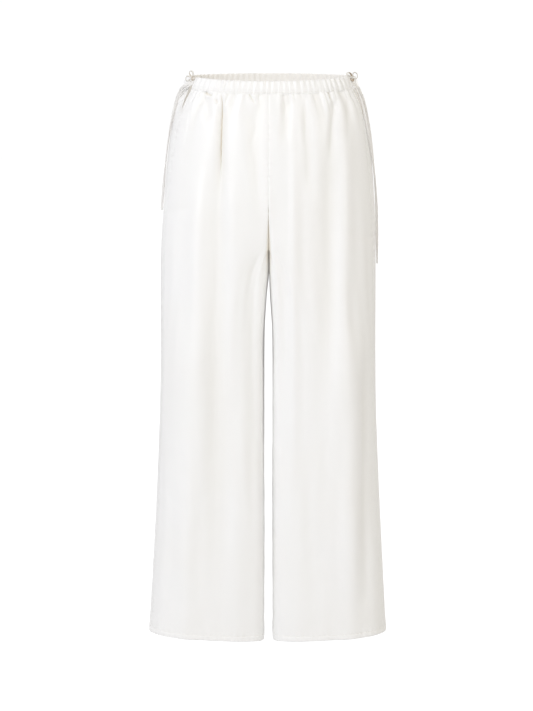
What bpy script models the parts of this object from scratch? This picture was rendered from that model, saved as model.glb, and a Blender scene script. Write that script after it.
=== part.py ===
"""Side tie pants: full-length wide-leg trousers in satin, filled out and held at the waist.

Metres, +Z up. The front faces -Y and the wearer's left is +X. The origin is the centre of the waist
ring, level with the casing's top edge at the sides. A point of the cloth is found from its drop, the
distance below that edge, and from its place along a half ring that runs round one half of the
garment, from the front's inner edge over the outer side to the back's inner edge.
"""
import math
from collections import namedtuple

import bpy
import numpy as np

COLLECTION_NAME = "side_tie_pants"

# Driving sizes of the cut
OUTSEAM = 1.045
CROTCH_DROP = 0.312
CASING_HEIGHT = 0.023
HEM_HEIGHT = 0.010
FRONT_DIP = 0.010
BACK_RISE = 0.004
EDGE_SHAPE_REACH = 0.22
HEM_SLANT = 0.0045
HEM_SLANT_START = 0.70

# Cloth walls and seams
CLOTH_THICKNESS = 0.0015
HEM_THICKNESS = 0.0023
CASING_THICKNESS = 0.0028
SEAM_GAP = 0.0003
CASING_SEAM_GAP = 0.0004

# Between these drops of the outer side the crotch seam curves from hanging to lying under
CROTCH_CURVE_START = 0.230
CROTCH_CURVE_END = 0.350

# The two legs draw apart from this drop, as their inner sides turn to face each other
LEG_PARTING_START = 0.212
LEG_PARTING_REACH = 0.055

# The inner sides lean together to one side where they touch
TOUCH_SWAY = 0.002
TOUCH_START = 0.225
TOUCH_END = 0.385
TOUCH_FADE = 0.055

# The trunk's one oval turns slowly into a leg's own, from this drop on
LEG_SHAPE_START = 0.14
LEG_SHAPE_REACH = 0.46

# Roundness of the outer side of the rings: 2 is an ellipse
OUTER_POWER = 2.3

# Gathers of the casings, and the mesh of a panel
GATHER_PITCH = 0.0103
GATHER_DEPTH = 0.0011
COLUMNS_PER_GATHER = 4
PANEL_COLUMNS = {"front": 24, "back": 26}
SEAM_CALM = 0.020
RING_STEPS = 160

# Ties: narrow bands knotted over the side vents, made here as plain round tubes
TIE_RADIUS = 0.0018
LOOP_RADIUS = 0.0015
KNOT_DROP = {"left": 0.006, "right": 0.003}
TIE_STEP = 0.0100
LOOP_STEP = 0.0032

# The garment's outline at each drop. The widths run from the middle to the wearer's left and right
# side, the depths from the middle plane to the front and the back, and seam_forward from the middle
# plane to the side seam. half_gap lies between the legs' middle plane and a leg's inner side, and
# inner_power is the squareness of that side.
Section = namedtuple(
    "Section", "drop left_width right_width front_depth back_depth seam_forward half_gap inner_power")
SECTIONS = (
    Section(0.000, 0.1565, 0.1490, 0.100, 0.112, 0.046, 0.0012, 4.6),
    Section(0.023, 0.1660, 0.1570, 0.104, 0.117, 0.046, 0.0012, 4.6),
    Section(0.045, 0.1755, 0.1660, 0.108, 0.122, 0.046, 0.0012, 4.6),
    Section(0.075, 0.1820, 0.1740, 0.113, 0.128, 0.046, 0.0012, 4.6),
    Section(0.105, 0.1860, 0.1800, 0.116, 0.132, 0.045, 0.0012, 4.6),
    Section(0.140, 0.1895, 0.1850, 0.118, 0.135, 0.044, 0.0012, 4.6),
    Section(0.235, 0.1970, 0.1940, 0.119, 0.136, 0.041, 0.0012, 6.0),
    Section(0.310, 0.1988, 0.1990, 0.117, 0.133, 0.038, 0.0012, 7.0),
    Section(0.385, 0.1988, 0.2000, 0.1135, 0.1280, 0.036, 0.0014, 7.0),
    Section(0.440, 0.1990, 0.2003, 0.1105, 0.1240, 0.034, 0.0050, 6.6),
    Section(0.500, 0.1995, 0.2005, 0.1070, 0.1195, 0.033, 0.0084, 6.2),
    Section(0.610, 0.2015, 0.2030, 0.101, 0.112, 0.031, 0.0085, 5.4),
    Section(0.760, 0.2075, 0.2090, 0.0945, 0.1035, 0.029, 0.0085, 4.8),
    Section(0.910, 0.2155, 0.2175, 0.089, 0.096, 0.028, 0.0085, 4.4),
    Section(1.045, 0.2230, 0.2260, 0.0850, 0.0905, 0.028, 0.0085, 4.2),
)

# Half the opening between front and back at the side, from the casings' ends to the vent's foot
Vent = namedtuple("Vent", "drop half_width")
VENT = (
    Vent(0.000, 0.0048),
    Vent(0.023, 0.0052),
    Vent(0.036, 0.0062),
    Vent(0.050, 0.0045),
    Vent(0.064, 0.00015),
)

# Rows of a panel's mesh, closest together where the form changes most
RowSpan = namedtuple("RowSpan", "end_drop rows")
ROW_SPANS = (
    RowSpan(0.062, 4),
    RowSpan(0.120, 3),
    RowSpan(0.215, 3),
    RowSpan(0.355, 8),
    RowSpan(OUTSEAM - HEM_HEIGHT, 5),
    RowSpan(OUTSEAM, 1),
)

# How far the vent and the side seam under it hang round to the front on each side
VENT_TURN = {"right": 0.005, "left": -0.005}
VENT_TURN_REACH = 0.25

# Folds: a trough has a negative height. x is signed, the wearer's left is positive.
Fold = namedtuple("Fold", "face x_top x_bottom drop_top drop_bottom height width")
FOLDS = (
    Fold("front", -0.085, -0.088, 0.030, 0.240, -0.0055, 0.0055),
    Fold("front", -0.089, -0.097, 0.100, 1.020, -0.0060, 0.0150),
    Fold("front", -0.124, -0.131, 0.150, 0.700, 0.0040, 0.0140),
    Fold("front", -0.066, -0.070, 0.150, 0.640, 0.0038, 0.0130),
    Fold("front", -0.033, -0.016, 0.030, 0.260, -0.0035, 0.0080),
    Fold("front", -0.030, -0.024, 0.280, 0.900, -0.0030, 0.0130),
    Fold("front", -0.112, -0.110, 0.028, 0.085, -0.0035, 0.0060),
    Fold("front", -0.150, -0.160, 0.420, 1.040, 0.0040, 0.0150),
    Fold("front", 0.031, 0.028, 0.028, 0.130, -0.0030, 0.0060),
    Fold("front", 0.048, 0.049, 0.060, 0.800, 0.0026, 0.0070),
    Fold("front", 0.070, 0.076, 0.030, 0.240, -0.0034, 0.0070),
    Fold("front", 0.117, 0.119, 0.028, 0.160, -0.0040, 0.0060),
    Fold("front", 0.119, 0.112, 0.080, 0.640, -0.0055, 0.0140),
    Fold("front", 0.138, 0.134, 0.060, 0.700, 0.0045, 0.0120),
    Fold("front", 0.150, 0.158, 0.420, 1.044, 0.0055, 0.0130),
    Fold("front", 0.180, 0.184, 0.480, 1.044, -0.0045, 0.0090),
    Fold("back", -0.030, -0.034, 0.028, 0.180, -0.0034, 0.0070),
    Fold("back", -0.062, -0.070, 0.028, 0.320, -0.0050, 0.0090),
    Fold("back", -0.092, -0.100, 0.090, 1.000, -0.0055, 0.0150),
    Fold("back", -0.126, -0.134, 0.060, 0.620, 0.0042, 0.0130),
    Fold("back", -0.150, -0.170, 0.260, 1.040, 0.0045, 0.0150),
    Fold("back", -0.046, -0.052, 0.380, 1.030, 0.0036, 0.0140),
    Fold("back", 0.026, 0.030, 0.028, 0.150, -0.0032, 0.0065),
    Fold("back", 0.050, 0.060, 0.028, 0.260, -0.0044, 0.0080),
    Fold("back", 0.086, 0.108, 0.060, 1.010, -0.0060, 0.0150),
    Fold("back", 0.118, 0.146, 0.060, 0.700, 0.0045, 0.0130),
    Fold("back", 0.140, 0.176, 0.300, 1.040, -0.0035, 0.0130),
    Fold("back", 0.044, 0.056, 0.400, 1.030, 0.0038, 0.0140),
)

# Knot and bow in the frame of the vent: along the waist towards the front, out from the cloth, up
BowPoint = namedtuple("BowPoint", "along out up")
KnotPoint = namedtuple("KnotPoint", "along out up radius")
KNOT = (
    KnotPoint(0.0045, 0.0012, 0.0002, 0.0014),
    KnotPoint(0.0038, 0.0012, 0.0003, 0.0018),
    KnotPoint(0.0027, 0.0021, 0.0005, 0.0028),
    KnotPoint(0.0013, 0.0034, 0.0007, 0.0037),
    KnotPoint(0.0000, 0.0038, 0.0008, 0.0041),
    KnotPoint(-0.0013, 0.0034, 0.0007, 0.0037),
    KnotPoint(-0.0027, 0.0021, 0.0005, 0.0028),
    KnotPoint(-0.0038, 0.0012, 0.0003, 0.0018),
    KnotPoint(-0.0045, 0.0012, 0.0002, 0.0014),
)
LOOPS = {
    ("left", "front"): (
        BowPoint(0.0022, 0.0045, 0.0046), BowPoint(0.0046, 0.0044, 0.0086),
        BowPoint(0.0086, 0.0034, 0.0120), BowPoint(0.0136, 0.0022, 0.0132),
        BowPoint(0.0174, 0.0018, 0.0112), BowPoint(0.0168, 0.0026, 0.0084),
        BowPoint(0.0126, 0.0050, 0.0064), BowPoint(0.0076, 0.0068, 0.0038),
        BowPoint(0.0038, 0.0068, 0.0022),
    ),
    ("left", "back"): (
        BowPoint(-0.0022, 0.0048, 0.0051), BowPoint(-0.0026, 0.0038, 0.0084),
        BowPoint(-0.0034, 0.0032, 0.0114), BowPoint(-0.0046, 0.0060, 0.0134),
        BowPoint(-0.0058, 0.0094, 0.0116), BowPoint(-0.0064, 0.0110, 0.0076),
        BowPoint(-0.0062, 0.0102, 0.0036), BowPoint(-0.0054, 0.0082, 0.0014),
        BowPoint(-0.0038, 0.0061, 0.0013),
    ),
    ("right", "front"): (
        BowPoint(0.0022, 0.0045, 0.0046), BowPoint(0.0042, 0.0056, 0.0084),
        BowPoint(0.0056, 0.0072, 0.0116), BowPoint(0.0042, 0.0090, 0.0136),
        BowPoint(0.0008, 0.0102, 0.0130), BowPoint(-0.0012, 0.0102, 0.0100),
        BowPoint(-0.0006, 0.0089, 0.0066), BowPoint(0.0000, 0.0072, 0.0038),
    ),
    ("right", "back"): (
        BowPoint(-0.0035, 0.0060, 0.0026), BowPoint(-0.0062, 0.0086, 0.0042),
        BowPoint(-0.0082, 0.0116, 0.0034), BowPoint(-0.0086, 0.0136, 0.0002),
        BowPoint(-0.0072, 0.0134, -0.0032), BowPoint(-0.0054, 0.0112, -0.0042),
        BowPoint(-0.0038, 0.0090, -0.0026), BowPoint(-0.0025, 0.0073, -0.0008),
    ),
}
TAIL_STARTS = {
    "front": (BowPoint(0.0024, 0.0048, -0.0039), BowPoint(0.0025, 0.0052, -0.0075)),
    "back": (BowPoint(-0.0023, 0.0046, -0.0036), BowPoint(-0.0029, 0.0057, -0.0070)),
}

# Route points of the ties' free ends, chosen by hand: drop, distance forward of the middle plane and
# lift off the middle of the cloth
RoutePoint = namedtuple("RoutePoint", "drop forward lift")
TAIL_ROUTES = {
    ("left", "front"): (
        RoutePoint(0.0225, 0.0425, 0.0051), RoutePoint(0.0310, 0.0422, 0.0047),
        RoutePoint(0.0430, 0.0420, 0.0040), RoutePoint(0.0600, 0.0418, 0.0034),
        RoutePoint(0.0820, 0.0405, 0.0031), RoutePoint(0.1060, 0.0370, 0.0031),
        RoutePoint(0.1310, 0.0318, 0.0031), RoutePoint(0.1570, 0.0255, 0.0031),
        RoutePoint(0.1840, 0.0190, 0.0031), RoutePoint(0.2110, 0.0138, 0.0031),
        RoutePoint(0.2390, 0.0100, 0.0031), RoutePoint(0.2670, 0.0074, 0.0031),
        RoutePoint(0.2950, 0.0058, 0.0031), RoutePoint(0.3220, 0.0050, 0.0031),
        RoutePoint(0.3480, 0.0046, 0.0032),
    ),
    ("left", "back"): (
        RoutePoint(0.0220, 0.0362, 0.0060), RoutePoint(0.0300, 0.0346, 0.0054),
        RoutePoint(0.0410, 0.0336, 0.0045), RoutePoint(0.0560, 0.0328, 0.0036),
        RoutePoint(0.0750, 0.0312, 0.0031), RoutePoint(0.0960, 0.0284, 0.0031),
        RoutePoint(0.1190, 0.0240, 0.0031), RoutePoint(0.1430, 0.0184, 0.0031),
        RoutePoint(0.1690, 0.0122, 0.0031), RoutePoint(0.1950, 0.0066, 0.0031),
        RoutePoint(0.2210, 0.0022, 0.0031), RoutePoint(0.2470, -0.0010, 0.0031),
        RoutePoint(0.2730, -0.0030, 0.0031), RoutePoint(0.2990, -0.0042, 0.0031),
        RoutePoint(0.3240, -0.0048, 0.0032),
    ),
    ("right", "front"): (
        RoutePoint(0.0215, 0.0470, 0.0052), RoutePoint(0.0275, 0.0400, 0.0050),
        RoutePoint(0.0350, 0.0335, 0.0045), RoutePoint(0.0440, 0.0275, 0.0038),
        RoutePoint(0.0550, 0.0225, 0.0033), RoutePoint(0.0680, 0.0185, 0.0031),
        RoutePoint(0.0830, 0.0155, 0.0031), RoutePoint(0.1000, 0.0132, 0.0031),
        RoutePoint(0.1180, 0.0115, 0.0031), RoutePoint(0.1370, 0.0101, 0.0031),
        RoutePoint(0.1570, 0.0091, 0.0031), RoutePoint(0.1780, 0.0084, 0.0031),
        RoutePoint(0.2000, 0.0079, 0.0031), RoutePoint(0.2240, 0.0076, 0.0031),
        RoutePoint(0.2480, 0.0075, 0.0032),
    ),
    ("right", "back"): (
        RoutePoint(0.0200, 0.0385, 0.0066), RoutePoint(0.0250, 0.0300, 0.0062),
        RoutePoint(0.0320, 0.0220, 0.0053), RoutePoint(0.0410, 0.0150, 0.0043),
        RoutePoint(0.0520, 0.0095, 0.0035), RoutePoint(0.0650, 0.0055, 0.0031),
        RoutePoint(0.0800, 0.0028, 0.0031), RoutePoint(0.0960, 0.0010, 0.0031),
        RoutePoint(0.1130, -0.0002, 0.0031), RoutePoint(0.1310, -0.0010, 0.0031),
        RoutePoint(0.1500, -0.0015, 0.0031), RoutePoint(0.1700, -0.0018, 0.0031),
        RoutePoint(0.1910, -0.0020, 0.0031), RoutePoint(0.2130, -0.0021, 0.0031),
        RoutePoint(0.2350, -0.0022, 0.0032),
    ),
}

Finish = namedtuple("Finish", "color roughness metallic")
SATIN = Finish((0.93, 0.915, 0.89), 0.38, 0.0)
TIE_SATIN = Finish((0.90, 0.88, 0.85), 0.42, 0.0)

SIDE_SIGN = {"left": 1.0, "right": -1.0}


def smooth(value):
    """Ease from 0 to 1 with level ends."""
    t = np.clip(value, 0.0, 1.0)
    return t * t * (3.0 - 2.0 * t)


def read_column(table, name, drop):
    """Read one column of a table at a drop, on a smooth curve through its rows."""
    drops = np.array([row.drop for row in table])
    values = np.array([getattr(row, name) for row in table])
    slopes = np.gradient(values, drops)
    at = np.clip(drop, drops[0], drops[-1])
    i = np.clip(np.searchsorted(drops, at) - 1, 0, len(drops) - 2)
    step = drops[i + 1] - drops[i]
    t = (at - drops[i]) / step
    start = (1 + 2 * t) * (1 - t) ** 2 * values[i] + t * (1 - t) ** 2 * step * slopes[i]
    end = t * t * (3 - 2 * t) * values[i + 1] + t * t * (t - 1) * step * slopes[i + 1]
    return start + end


def crotch_turn(drop):
    """Angle that the crotch seam has turned through, from hanging (0) to under (90 degrees)."""
    share = (drop - CROTCH_CURVE_START) / (CROTCH_CURVE_END - CROTCH_CURVE_START)
    return 0.5 * math.pi * min(max(share, 0.0), 1.0)


def inner_edge_drop(drop):
    """Drop of the inner edge on the row whose outer side lies at the given drop."""
    if drop <= CROTCH_CURVE_START:
        return drop
    if drop <= CROTCH_CURVE_END:
        rise = CROTCH_DROP - CROTCH_CURVE_START
        return CROTCH_CURVE_START + rise * math.sin(crotch_turn(drop))
    share = (drop - CROTCH_CURVE_END) / (OUTSEAM - CROTCH_CURVE_END)
    return CROTCH_DROP + share * (OUTSEAM - CROTCH_DROP)


def quarter_ring(side, drop, depth):
    """Points (x, y) from the inner edge to the outermost point of the ring, both positive.

    The outer part is a rounded quarter of the trunk, and lower down of the leg. The inner part is as
    flat as the trunk above the crotch seam, and returns along the leg's inner side to that seam or to
    the inseam below it.
    """
    width = read_column(SECTIONS, f"{side}_width", drop)
    power = read_column(SECTIONS, "inner_power", drop)
    trunk = math.cos(crotch_turn(drop))
    leg = smooth((drop - LEG_SHAPE_START) / LEG_SHAPE_REACH)
    parting = smooth((drop - LEG_PARTING_START) / LEG_PARTING_REACH)
    edge_x = read_column(SECTIONS, "half_gap", drop) * parting
    middle = 0.5 * (width + edge_x)

    turn = np.linspace(0.5 * math.pi, 0.0, RING_STEPS)
    inner_turn = 0.5 * math.pi * np.linspace(1.0, 0.0, RING_STEPS) ** 2
    inner_x = middle - (middle - edge_x) * np.sin(inner_turn) ** (2.0 / power)
    outer_x = middle + (width - middle) * np.cos(turn) ** (2.0 / OUTER_POWER)

    def trunk_depth(x):
        return depth * (1.0 - np.clip(x / width, 0.0, 1.0) ** OUTER_POWER) ** (1.0 / OUTER_POWER)

    flat = (1.0 - leg) * trunk_depth(inner_x) + leg * depth
    inner_return = depth - depth * trunk
    inner_y = flat - inner_return * (1.0 - np.cos(inner_turn) ** (2.0 / power))
    outer_y = (1.0 - leg) * trunk_depth(outer_x)
    outer_y = outer_y + leg * depth * np.sin(turn) ** (2.0 / OUTER_POWER)
    x = np.concatenate((inner_x, outer_x[1:]))
    y = np.concatenate((inner_y, outer_y[1:]))
    return x, y, edge_x, middle, width


def half_ring(side, drop):
    """Points of one half ring, from the front's inner edge over the side to the back's."""
    front_depth = read_column(SECTIONS, "front_depth", drop)
    back_depth = read_column(SECTIONS, "back_depth", drop)
    x, front_y, edge_x, middle, width = quarter_ring(side, drop, front_depth)
    back_x, back_y, _, _, _ = quarter_ring(side, drop, back_depth)
    x = np.concatenate((x, back_x[::-1][1:]))
    y = np.concatenate((-front_y, back_y[::-1][1:]))

    inner_share = np.clip((middle - x) / (middle - edge_x), 0.0, 1.0) ** 2
    z = -(drop + (inner_edge_drop(drop) - drop) * inner_share)
    edge_shape = 1.0 - smooth(drop / EDGE_SHAPE_REACH)
    front_share = np.clip(-y / front_depth, 0.0, 1.0) ** 2
    back_share = np.clip(y / back_depth, 0.0, 1.0) ** 2
    z = z + edge_shape * (BACK_RISE * back_share - FRONT_DIP * front_share)
    slant = smooth((drop - HEM_SLANT_START) / (OUTSEAM - HEM_SLANT_START))
    z = z + HEM_SLANT * slant * (x - middle) / (width - middle)

    touch = smooth((drop - TOUCH_START) / TOUCH_FADE) * (1.0 - smooth((drop - TOUCH_END) / TOUCH_FADE))
    sway = TOUCH_SWAY * touch * inner_share * (1.0 - np.maximum(front_share, back_share))
    return np.column_stack((SIDE_SIGN[side] * x + sway, y, z))


def running_length(points):
    """Length along a line of points, from its first point to each of them."""
    steps = np.linalg.norm(np.diff(points, axis=0), axis=1)
    return np.concatenate(([0.0], np.cumsum(steps)))


def pick(points, lengths, at):
    """Points of a line at the given lengths along it."""
    return np.column_stack([np.interp(at, lengths, points[:, axis]) for axis in range(3)])


def seam_length(side, drop, ring, lengths):
    """Length along the half ring from the front's inner edge to the side seam."""
    turn = VENT_TURN[side] * (1.0 - smooth(drop / VENT_TURN_REACH))
    forward = read_column(SECTIONS, "seam_forward", drop) + turn
    outer = np.arange(RING_STEPS, 2 * RING_STEPS - 1)
    return float(np.interp(-forward, ring[outer, 1], lengths[outer]))


def vent_half_width(drop):
    """Half the distance between front and back at the side seam."""
    drops = [row.drop for row in VENT]
    return float(np.interp(drop, drops, [row.half_width for row in VENT]))


def panel_row(side, face, drop, columns):
    """Points of one row of a panel, from its inner edge to the side seam."""
    ring = half_ring(side, drop)
    lengths = running_length(ring)
    seam = seam_length(side, drop, ring, lengths)
    if face == "front":
        start, end = 0.5 * SEAM_GAP, seam - vent_half_width(drop)
    else:
        start, end = lengths[-1] - 0.5 * SEAM_GAP, seam + vent_half_width(drop)
    return pick(ring, lengths, np.linspace(start, end, columns + 1))


def surface_normals(grid, outward):
    """Unit normals of a grid of points, turned to agree with the outward directions given."""
    across = np.gradient(grid, axis=1)
    down = np.gradient(grid, axis=0)
    normals = np.cross(across, down)
    normals /= np.linalg.norm(normals, axis=2, keepdims=True)
    turned = np.sum(normals * outward, axis=2).mean() < 0.0
    return -normals if turned else normals


def fold_height(face, x, drop):
    """Height of all the folds of one face over the plain surface, at signed x and drop."""
    height = np.zeros(np.broadcast(x, drop).shape)
    for fold in FOLDS:
        if fold.face != face:
            continue
        share = (drop - fold.drop_top) / (fold.drop_bottom - fold.drop_top)
        place = fold.x_top + (fold.x_bottom - fold.x_top) * np.clip(share, 0.0, 1.0)
        ends = smooth(share * 5.0) * smooth((1.0 - share) * 2.5)
        height = height + fold.height * ends * np.exp(-0.5 * ((x - place) / fold.width) ** 2)
    return height


def row_drops():
    """Drops of a panel's rows, from the casing's seam to the hem."""
    drops = [CASING_HEIGHT + CASING_SEAM_GAP]
    for span in ROW_SPANS:
        drops.extend(np.linspace(drops[-1], span.end_drop, span.rows + 1)[1:])
    return np.array(drops)


def leg_centre(grid):
    """Directions from the middle line of the panel's leg to its points."""
    centre = np.array([np.mean(grid[:, :, 0]), 0.0, 0.0])
    directions = grid - centre
    directions[:, :, 2] = 0.0
    return directions


def panel_grid(side, face):
    """Middle surface of a panel with its folds, as rows of points."""
    drops = row_drops()
    columns = PANEL_COLUMNS[face]
    grid = np.array([panel_row(side, face, drop, columns) for drop in drops])
    normals = surface_normals(grid, leg_centre(grid))
    across = np.linalg.norm(np.diff(grid, axis=1), axis=2)
    along = np.concatenate((np.zeros((len(drops), 1)), np.cumsum(across, axis=1)), axis=1)
    to_edge = np.minimum(along, along[:, -1:] - along)
    calm = smooth(to_edge / SEAM_CALM)
    height = fold_height(face, grid[:, :, 0], drops[:, None])
    return grid + normals * (height * calm)[:, :, None]


def waist_line(face, drop):
    """The ring of one casing at a drop, from the wearer's right vent to the left one."""
    halves = []
    for side in ("right", "left"):
        ring = half_ring(side, drop)
        lengths = running_length(ring)
        seam = seam_length(side, drop, ring, lengths)
        gap = vent_half_width(drop)
        if face == "front":
            ends = (0.0, seam - gap)
        else:
            ends = (lengths[-1], seam + gap)
        halves.append(pick(ring, lengths, np.linspace(*ends, 2 * RING_STEPS)))
    return np.concatenate((halves[0][::-1], halves[1][1:]))


def casing_grid(face):
    """Middle surface of a gathered casing: rows down its height, columns round the waist."""
    rows = []
    for drop, bulge in ((0.0, 0.0), (0.5 * CASING_HEIGHT, 0.0009), (CASING_HEIGHT, 0.0)):
        line = waist_line(face, drop)
        lengths = running_length(line)
        gathers = round(lengths[-1] / GATHER_PITCH)
        columns = gathers * COLUMNS_PER_GATHER
        row = pick(line, lengths, np.linspace(0.0, lengths[-1], columns + 1))
        rows.append((row, bulge, gathers))
    gathers = rows[0][2]
    columns = gathers * COLUMNS_PER_GATHER + 1
    grid = np.empty((len(rows), columns, 3))
    share = np.linspace(0.0, 1.0, columns)
    uneven = 0.5 * np.sin(2 * math.pi * 3.7 * share) + 0.4 * np.sin(2 * math.pi * 8.3 * share + 1.0)
    wave = np.cos(2 * math.pi * gathers * share + uneven)
    wave *= smooth(share * 40.0) * smooth((1.0 - share) * 40.0)
    for number, (row, bulge, _) in enumerate(rows):
        source = np.linspace(0.0, 1.0, len(row))
        grid[number] = np.column_stack([np.interp(share, source, row[:, k]) for k in range(3)])
    outward = grid.copy()
    outward[:, :, 2] = 0.0
    normals = surface_normals(grid, outward)
    heights = np.array([bulge + GATHER_DEPTH * wave for _, bulge, _ in rows])
    return grid + normals * heights[:, :, None]


def make_collection():
    """Empty the scene and make the collection that holds the garment."""
    for old in list(bpy.data.objects):
        bpy.data.objects.remove(old, do_unlink=True)
    collection = bpy.data.collections.new(COLLECTION_NAME)
    bpy.context.scene.collection.children.link(collection)
    return collection


def make_material(name, finish):
    """Principled material of one finish."""
    material = bpy.data.materials.new(name)
    material.use_nodes = True
    shader = material.node_tree.nodes["Principled BSDF"]
    shader.inputs["Base Color"].default_value = (*finish.color, 1.0)
    shader.inputs["Roughness"].default_value = finish.roughness
    shader.inputs["Metallic"].default_value = finish.metallic
    material.diffuse_color = (*finish.color, 1.0)
    return material


def add_cloth(collection, name, grid, thickness, thin_share, finish):
    """Make a grid of points into a cloth wall.

    thin_share is the wall's thickness at each row as a share of the full thickness.
    """
    rows, columns, _ = grid.shape
    first = np.arange(rows - 1)[:, None] * columns + np.arange(columns - 1)[None, :]
    faces = np.stack((first, first + columns, first + columns + 1, first + 1), axis=-1)
    mesh = bpy.data.meshes.new(name)
    mesh.from_pydata(grid.reshape(-1, 3).tolist(), [], faces.reshape(-1, 4).tolist())
    mesh.update()
    mesh.shade_smooth()
    cloth = bpy.data.objects.new(name, mesh)
    collection.objects.link(cloth)
    group = cloth.vertex_groups.new(name="wall_share")
    for row, share in enumerate(thin_share):
        group.add(list(range(row * columns, (row + 1) * columns)), float(share), "REPLACE")
    wall = cloth.modifiers.new("wall", "SOLIDIFY")
    wall.thickness = thickness
    wall.offset = 0.0
    wall.vertex_group = group.name
    wall.use_even_offset = True
    mesh.materials.append(make_material(name, finish))
    return cloth


def add_tube(collection, name, points, radii, finish):
    """Make a closed round tube along a line of points, with a radius at each of them."""
    curve = bpy.data.curves.new(name, "CURVE")
    curve.dimensions = "3D"
    curve.bevel_depth = 1.0
    curve.bevel_resolution = 2
    curve.use_fill_caps = True
    spline = curve.splines.new("POLY")
    spline.points.add(len(points) - 1)
    for control, point, radius in zip(spline.points, points, radii):
        control.co = (*point, 1.0)
        control.radius = float(radius)
    tube = bpy.data.objects.new(name, curve)
    collection.objects.link(tube)
    curve.materials.append(make_material(name, finish))
    return tube


def smooth_line(points, step):
    """Even points, about a step apart, on a smooth curve through the given points."""
    points = np.asarray(points, dtype=float)
    before = 2 * points[0] - points[1]
    after = 2 * points[-1] - points[-2]
    padded = np.vstack((before, points, after))
    dense = []
    for i in range(1, len(padded) - 2):
        t = np.linspace(0.0, 1.0, 24, endpoint=False)[:, None]
        a, b, c, d = padded[i - 1], padded[i], padded[i + 1], padded[i + 2]
        dense.append(0.5 * (2 * b + (c - a) * t + (2 * a - 5 * b + 4 * c - d) * t ** 2
                            + (3 * b - a - 3 * c + d) * t ** 3))
    dense = np.vstack(dense + [points[-1:]])
    lengths = running_length(dense)
    count = max(int(round(lengths[-1] / step)), 2)
    at = np.linspace(0.0, lengths[-1], count + 1)
    return np.column_stack([np.interp(at, lengths, dense[:, k]) for k in range(dense.shape[1])])


def cloth_point(side, drop, forward, lift):
    """A point over the outer side of the cloth, at a distance forward of the middle plane."""
    def on_ring(at_drop, at_forward):
        ring = half_ring(side, at_drop)
        outer = np.arange(RING_STEPS, 3 * RING_STEPS)
        return np.array([np.interp(-at_forward, ring[outer, 1], ring[outer, k]) for k in range(3)])

    reach = 0.004
    point = on_ring(drop, forward)
    down = on_ring(drop + reach, forward) - on_ring(max(drop - reach, 0.0), forward)
    across = on_ring(drop, forward - reach) - on_ring(drop, forward + reach)
    normal = np.cross(down, across)
    normal /= np.linalg.norm(normal)
    if normal[0] * SIDE_SIGN[side] < 0.0:
        normal = -normal
    return point + lift * normal


def vent_frame(side):
    """Centre of the vent at the knot, and its directions: to the front, out and up."""
    drop = KNOT_DROP[side]
    forward = read_column(SECTIONS, "seam_forward", drop) + VENT_TURN[side]
    centre = cloth_point(side, drop, forward, 0.0)
    out = cloth_point(side, drop, forward, 1.0) - centre
    out[2] = 0.0
    out /= np.linalg.norm(out)
    up = np.array((0.0, 0.0, 1.0))
    front = np.cross(up, out)
    if front[1] > 0.0:
        front = -front
    return centre, front, out, up


def bow_points(side, points):
    """Points given in the frame of one side's vent, in the garment's frame."""
    centre, front, out, up = vent_frame(side)
    points = np.asarray(points)
    return centre + points[:, :1] * front + points[:, 1:2] * out + points[:, 2:3] * up


def make_bow(collection, side):
    """Knot with its two necks, and the two loops of the bow."""
    knot = np.asarray(KNOT)
    add_tube(collection, f"tie_{side}_knot", bow_points(side, knot), knot[:, 3], TIE_SATIN)
    for face in ("front", "back"):
        line = smooth_line(bow_points(side, LOOPS[side, face]), LOOP_STEP)
        radii = np.full(len(line), LOOP_RADIUS)
        add_tube(collection, f"tie_{side}_loop_{face}", line, radii, TIE_SATIN)


def make_tails(collection, side):
    """The tie's two free ends, hanging down the side from the knot."""
    for face in ("front", "back"):
        route = TAIL_ROUTES[side, face]
        start = bow_points(side, TAIL_STARTS[face])
        hanging = [cloth_point(side, at.drop, at.forward, at.lift) for at in route]
        points = np.vstack((start, hanging))
        line = smooth_line(points, TIE_STEP)
        radii = np.full(len(line), TIE_RADIUS)
        add_tube(collection, f"tie_{side}_tail_{face}", line, radii, TIE_SATIN)


def make_panels(collection):
    """The four leg panels, each with its turned hem as a thicker strip."""
    thin_share = np.full(len(row_drops()), CLOTH_THICKNESS / HEM_THICKNESS)
    thin_share[-2:] = 1.0
    for face in ("front", "back"):
        for side in ("left", "right"):
            grid = panel_grid(side, face)
            add_cloth(collection, f"{face}_{side}", grid, HEM_THICKNESS, thin_share, SATIN)


def make_casings(collection):
    """The gathered casings of the front and the back."""
    for face in ("front", "back"):
        grid = casing_grid(face)
        add_cloth(collection, f"waistband_{face}", grid, CASING_THICKNESS, np.ones(len(grid)), SATIN)


def main():
    """Build the garment."""
    collection = make_collection()
    make_panels(collection)
    make_casings(collection)
    for side in ("left", "right"):
        make_bow(collection, side)
        make_tails(collection, side)


main()
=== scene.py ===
"""Side tie pants in ivory satin: the cloth, casings, hems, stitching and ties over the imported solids.

Metres, +Z up. The front faces -Y and the wearer's left is +X. A point of the cloth is found from its
drop, the distance below the casing's top edge at the sides, and from its share of a panel's row, which
runs from the inner edge (0) to the side seam (1).
"""

import logging
import math
from dataclasses import dataclass, field
from enum import Enum
from typing import Any, NamedTuple, Sequence

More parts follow.
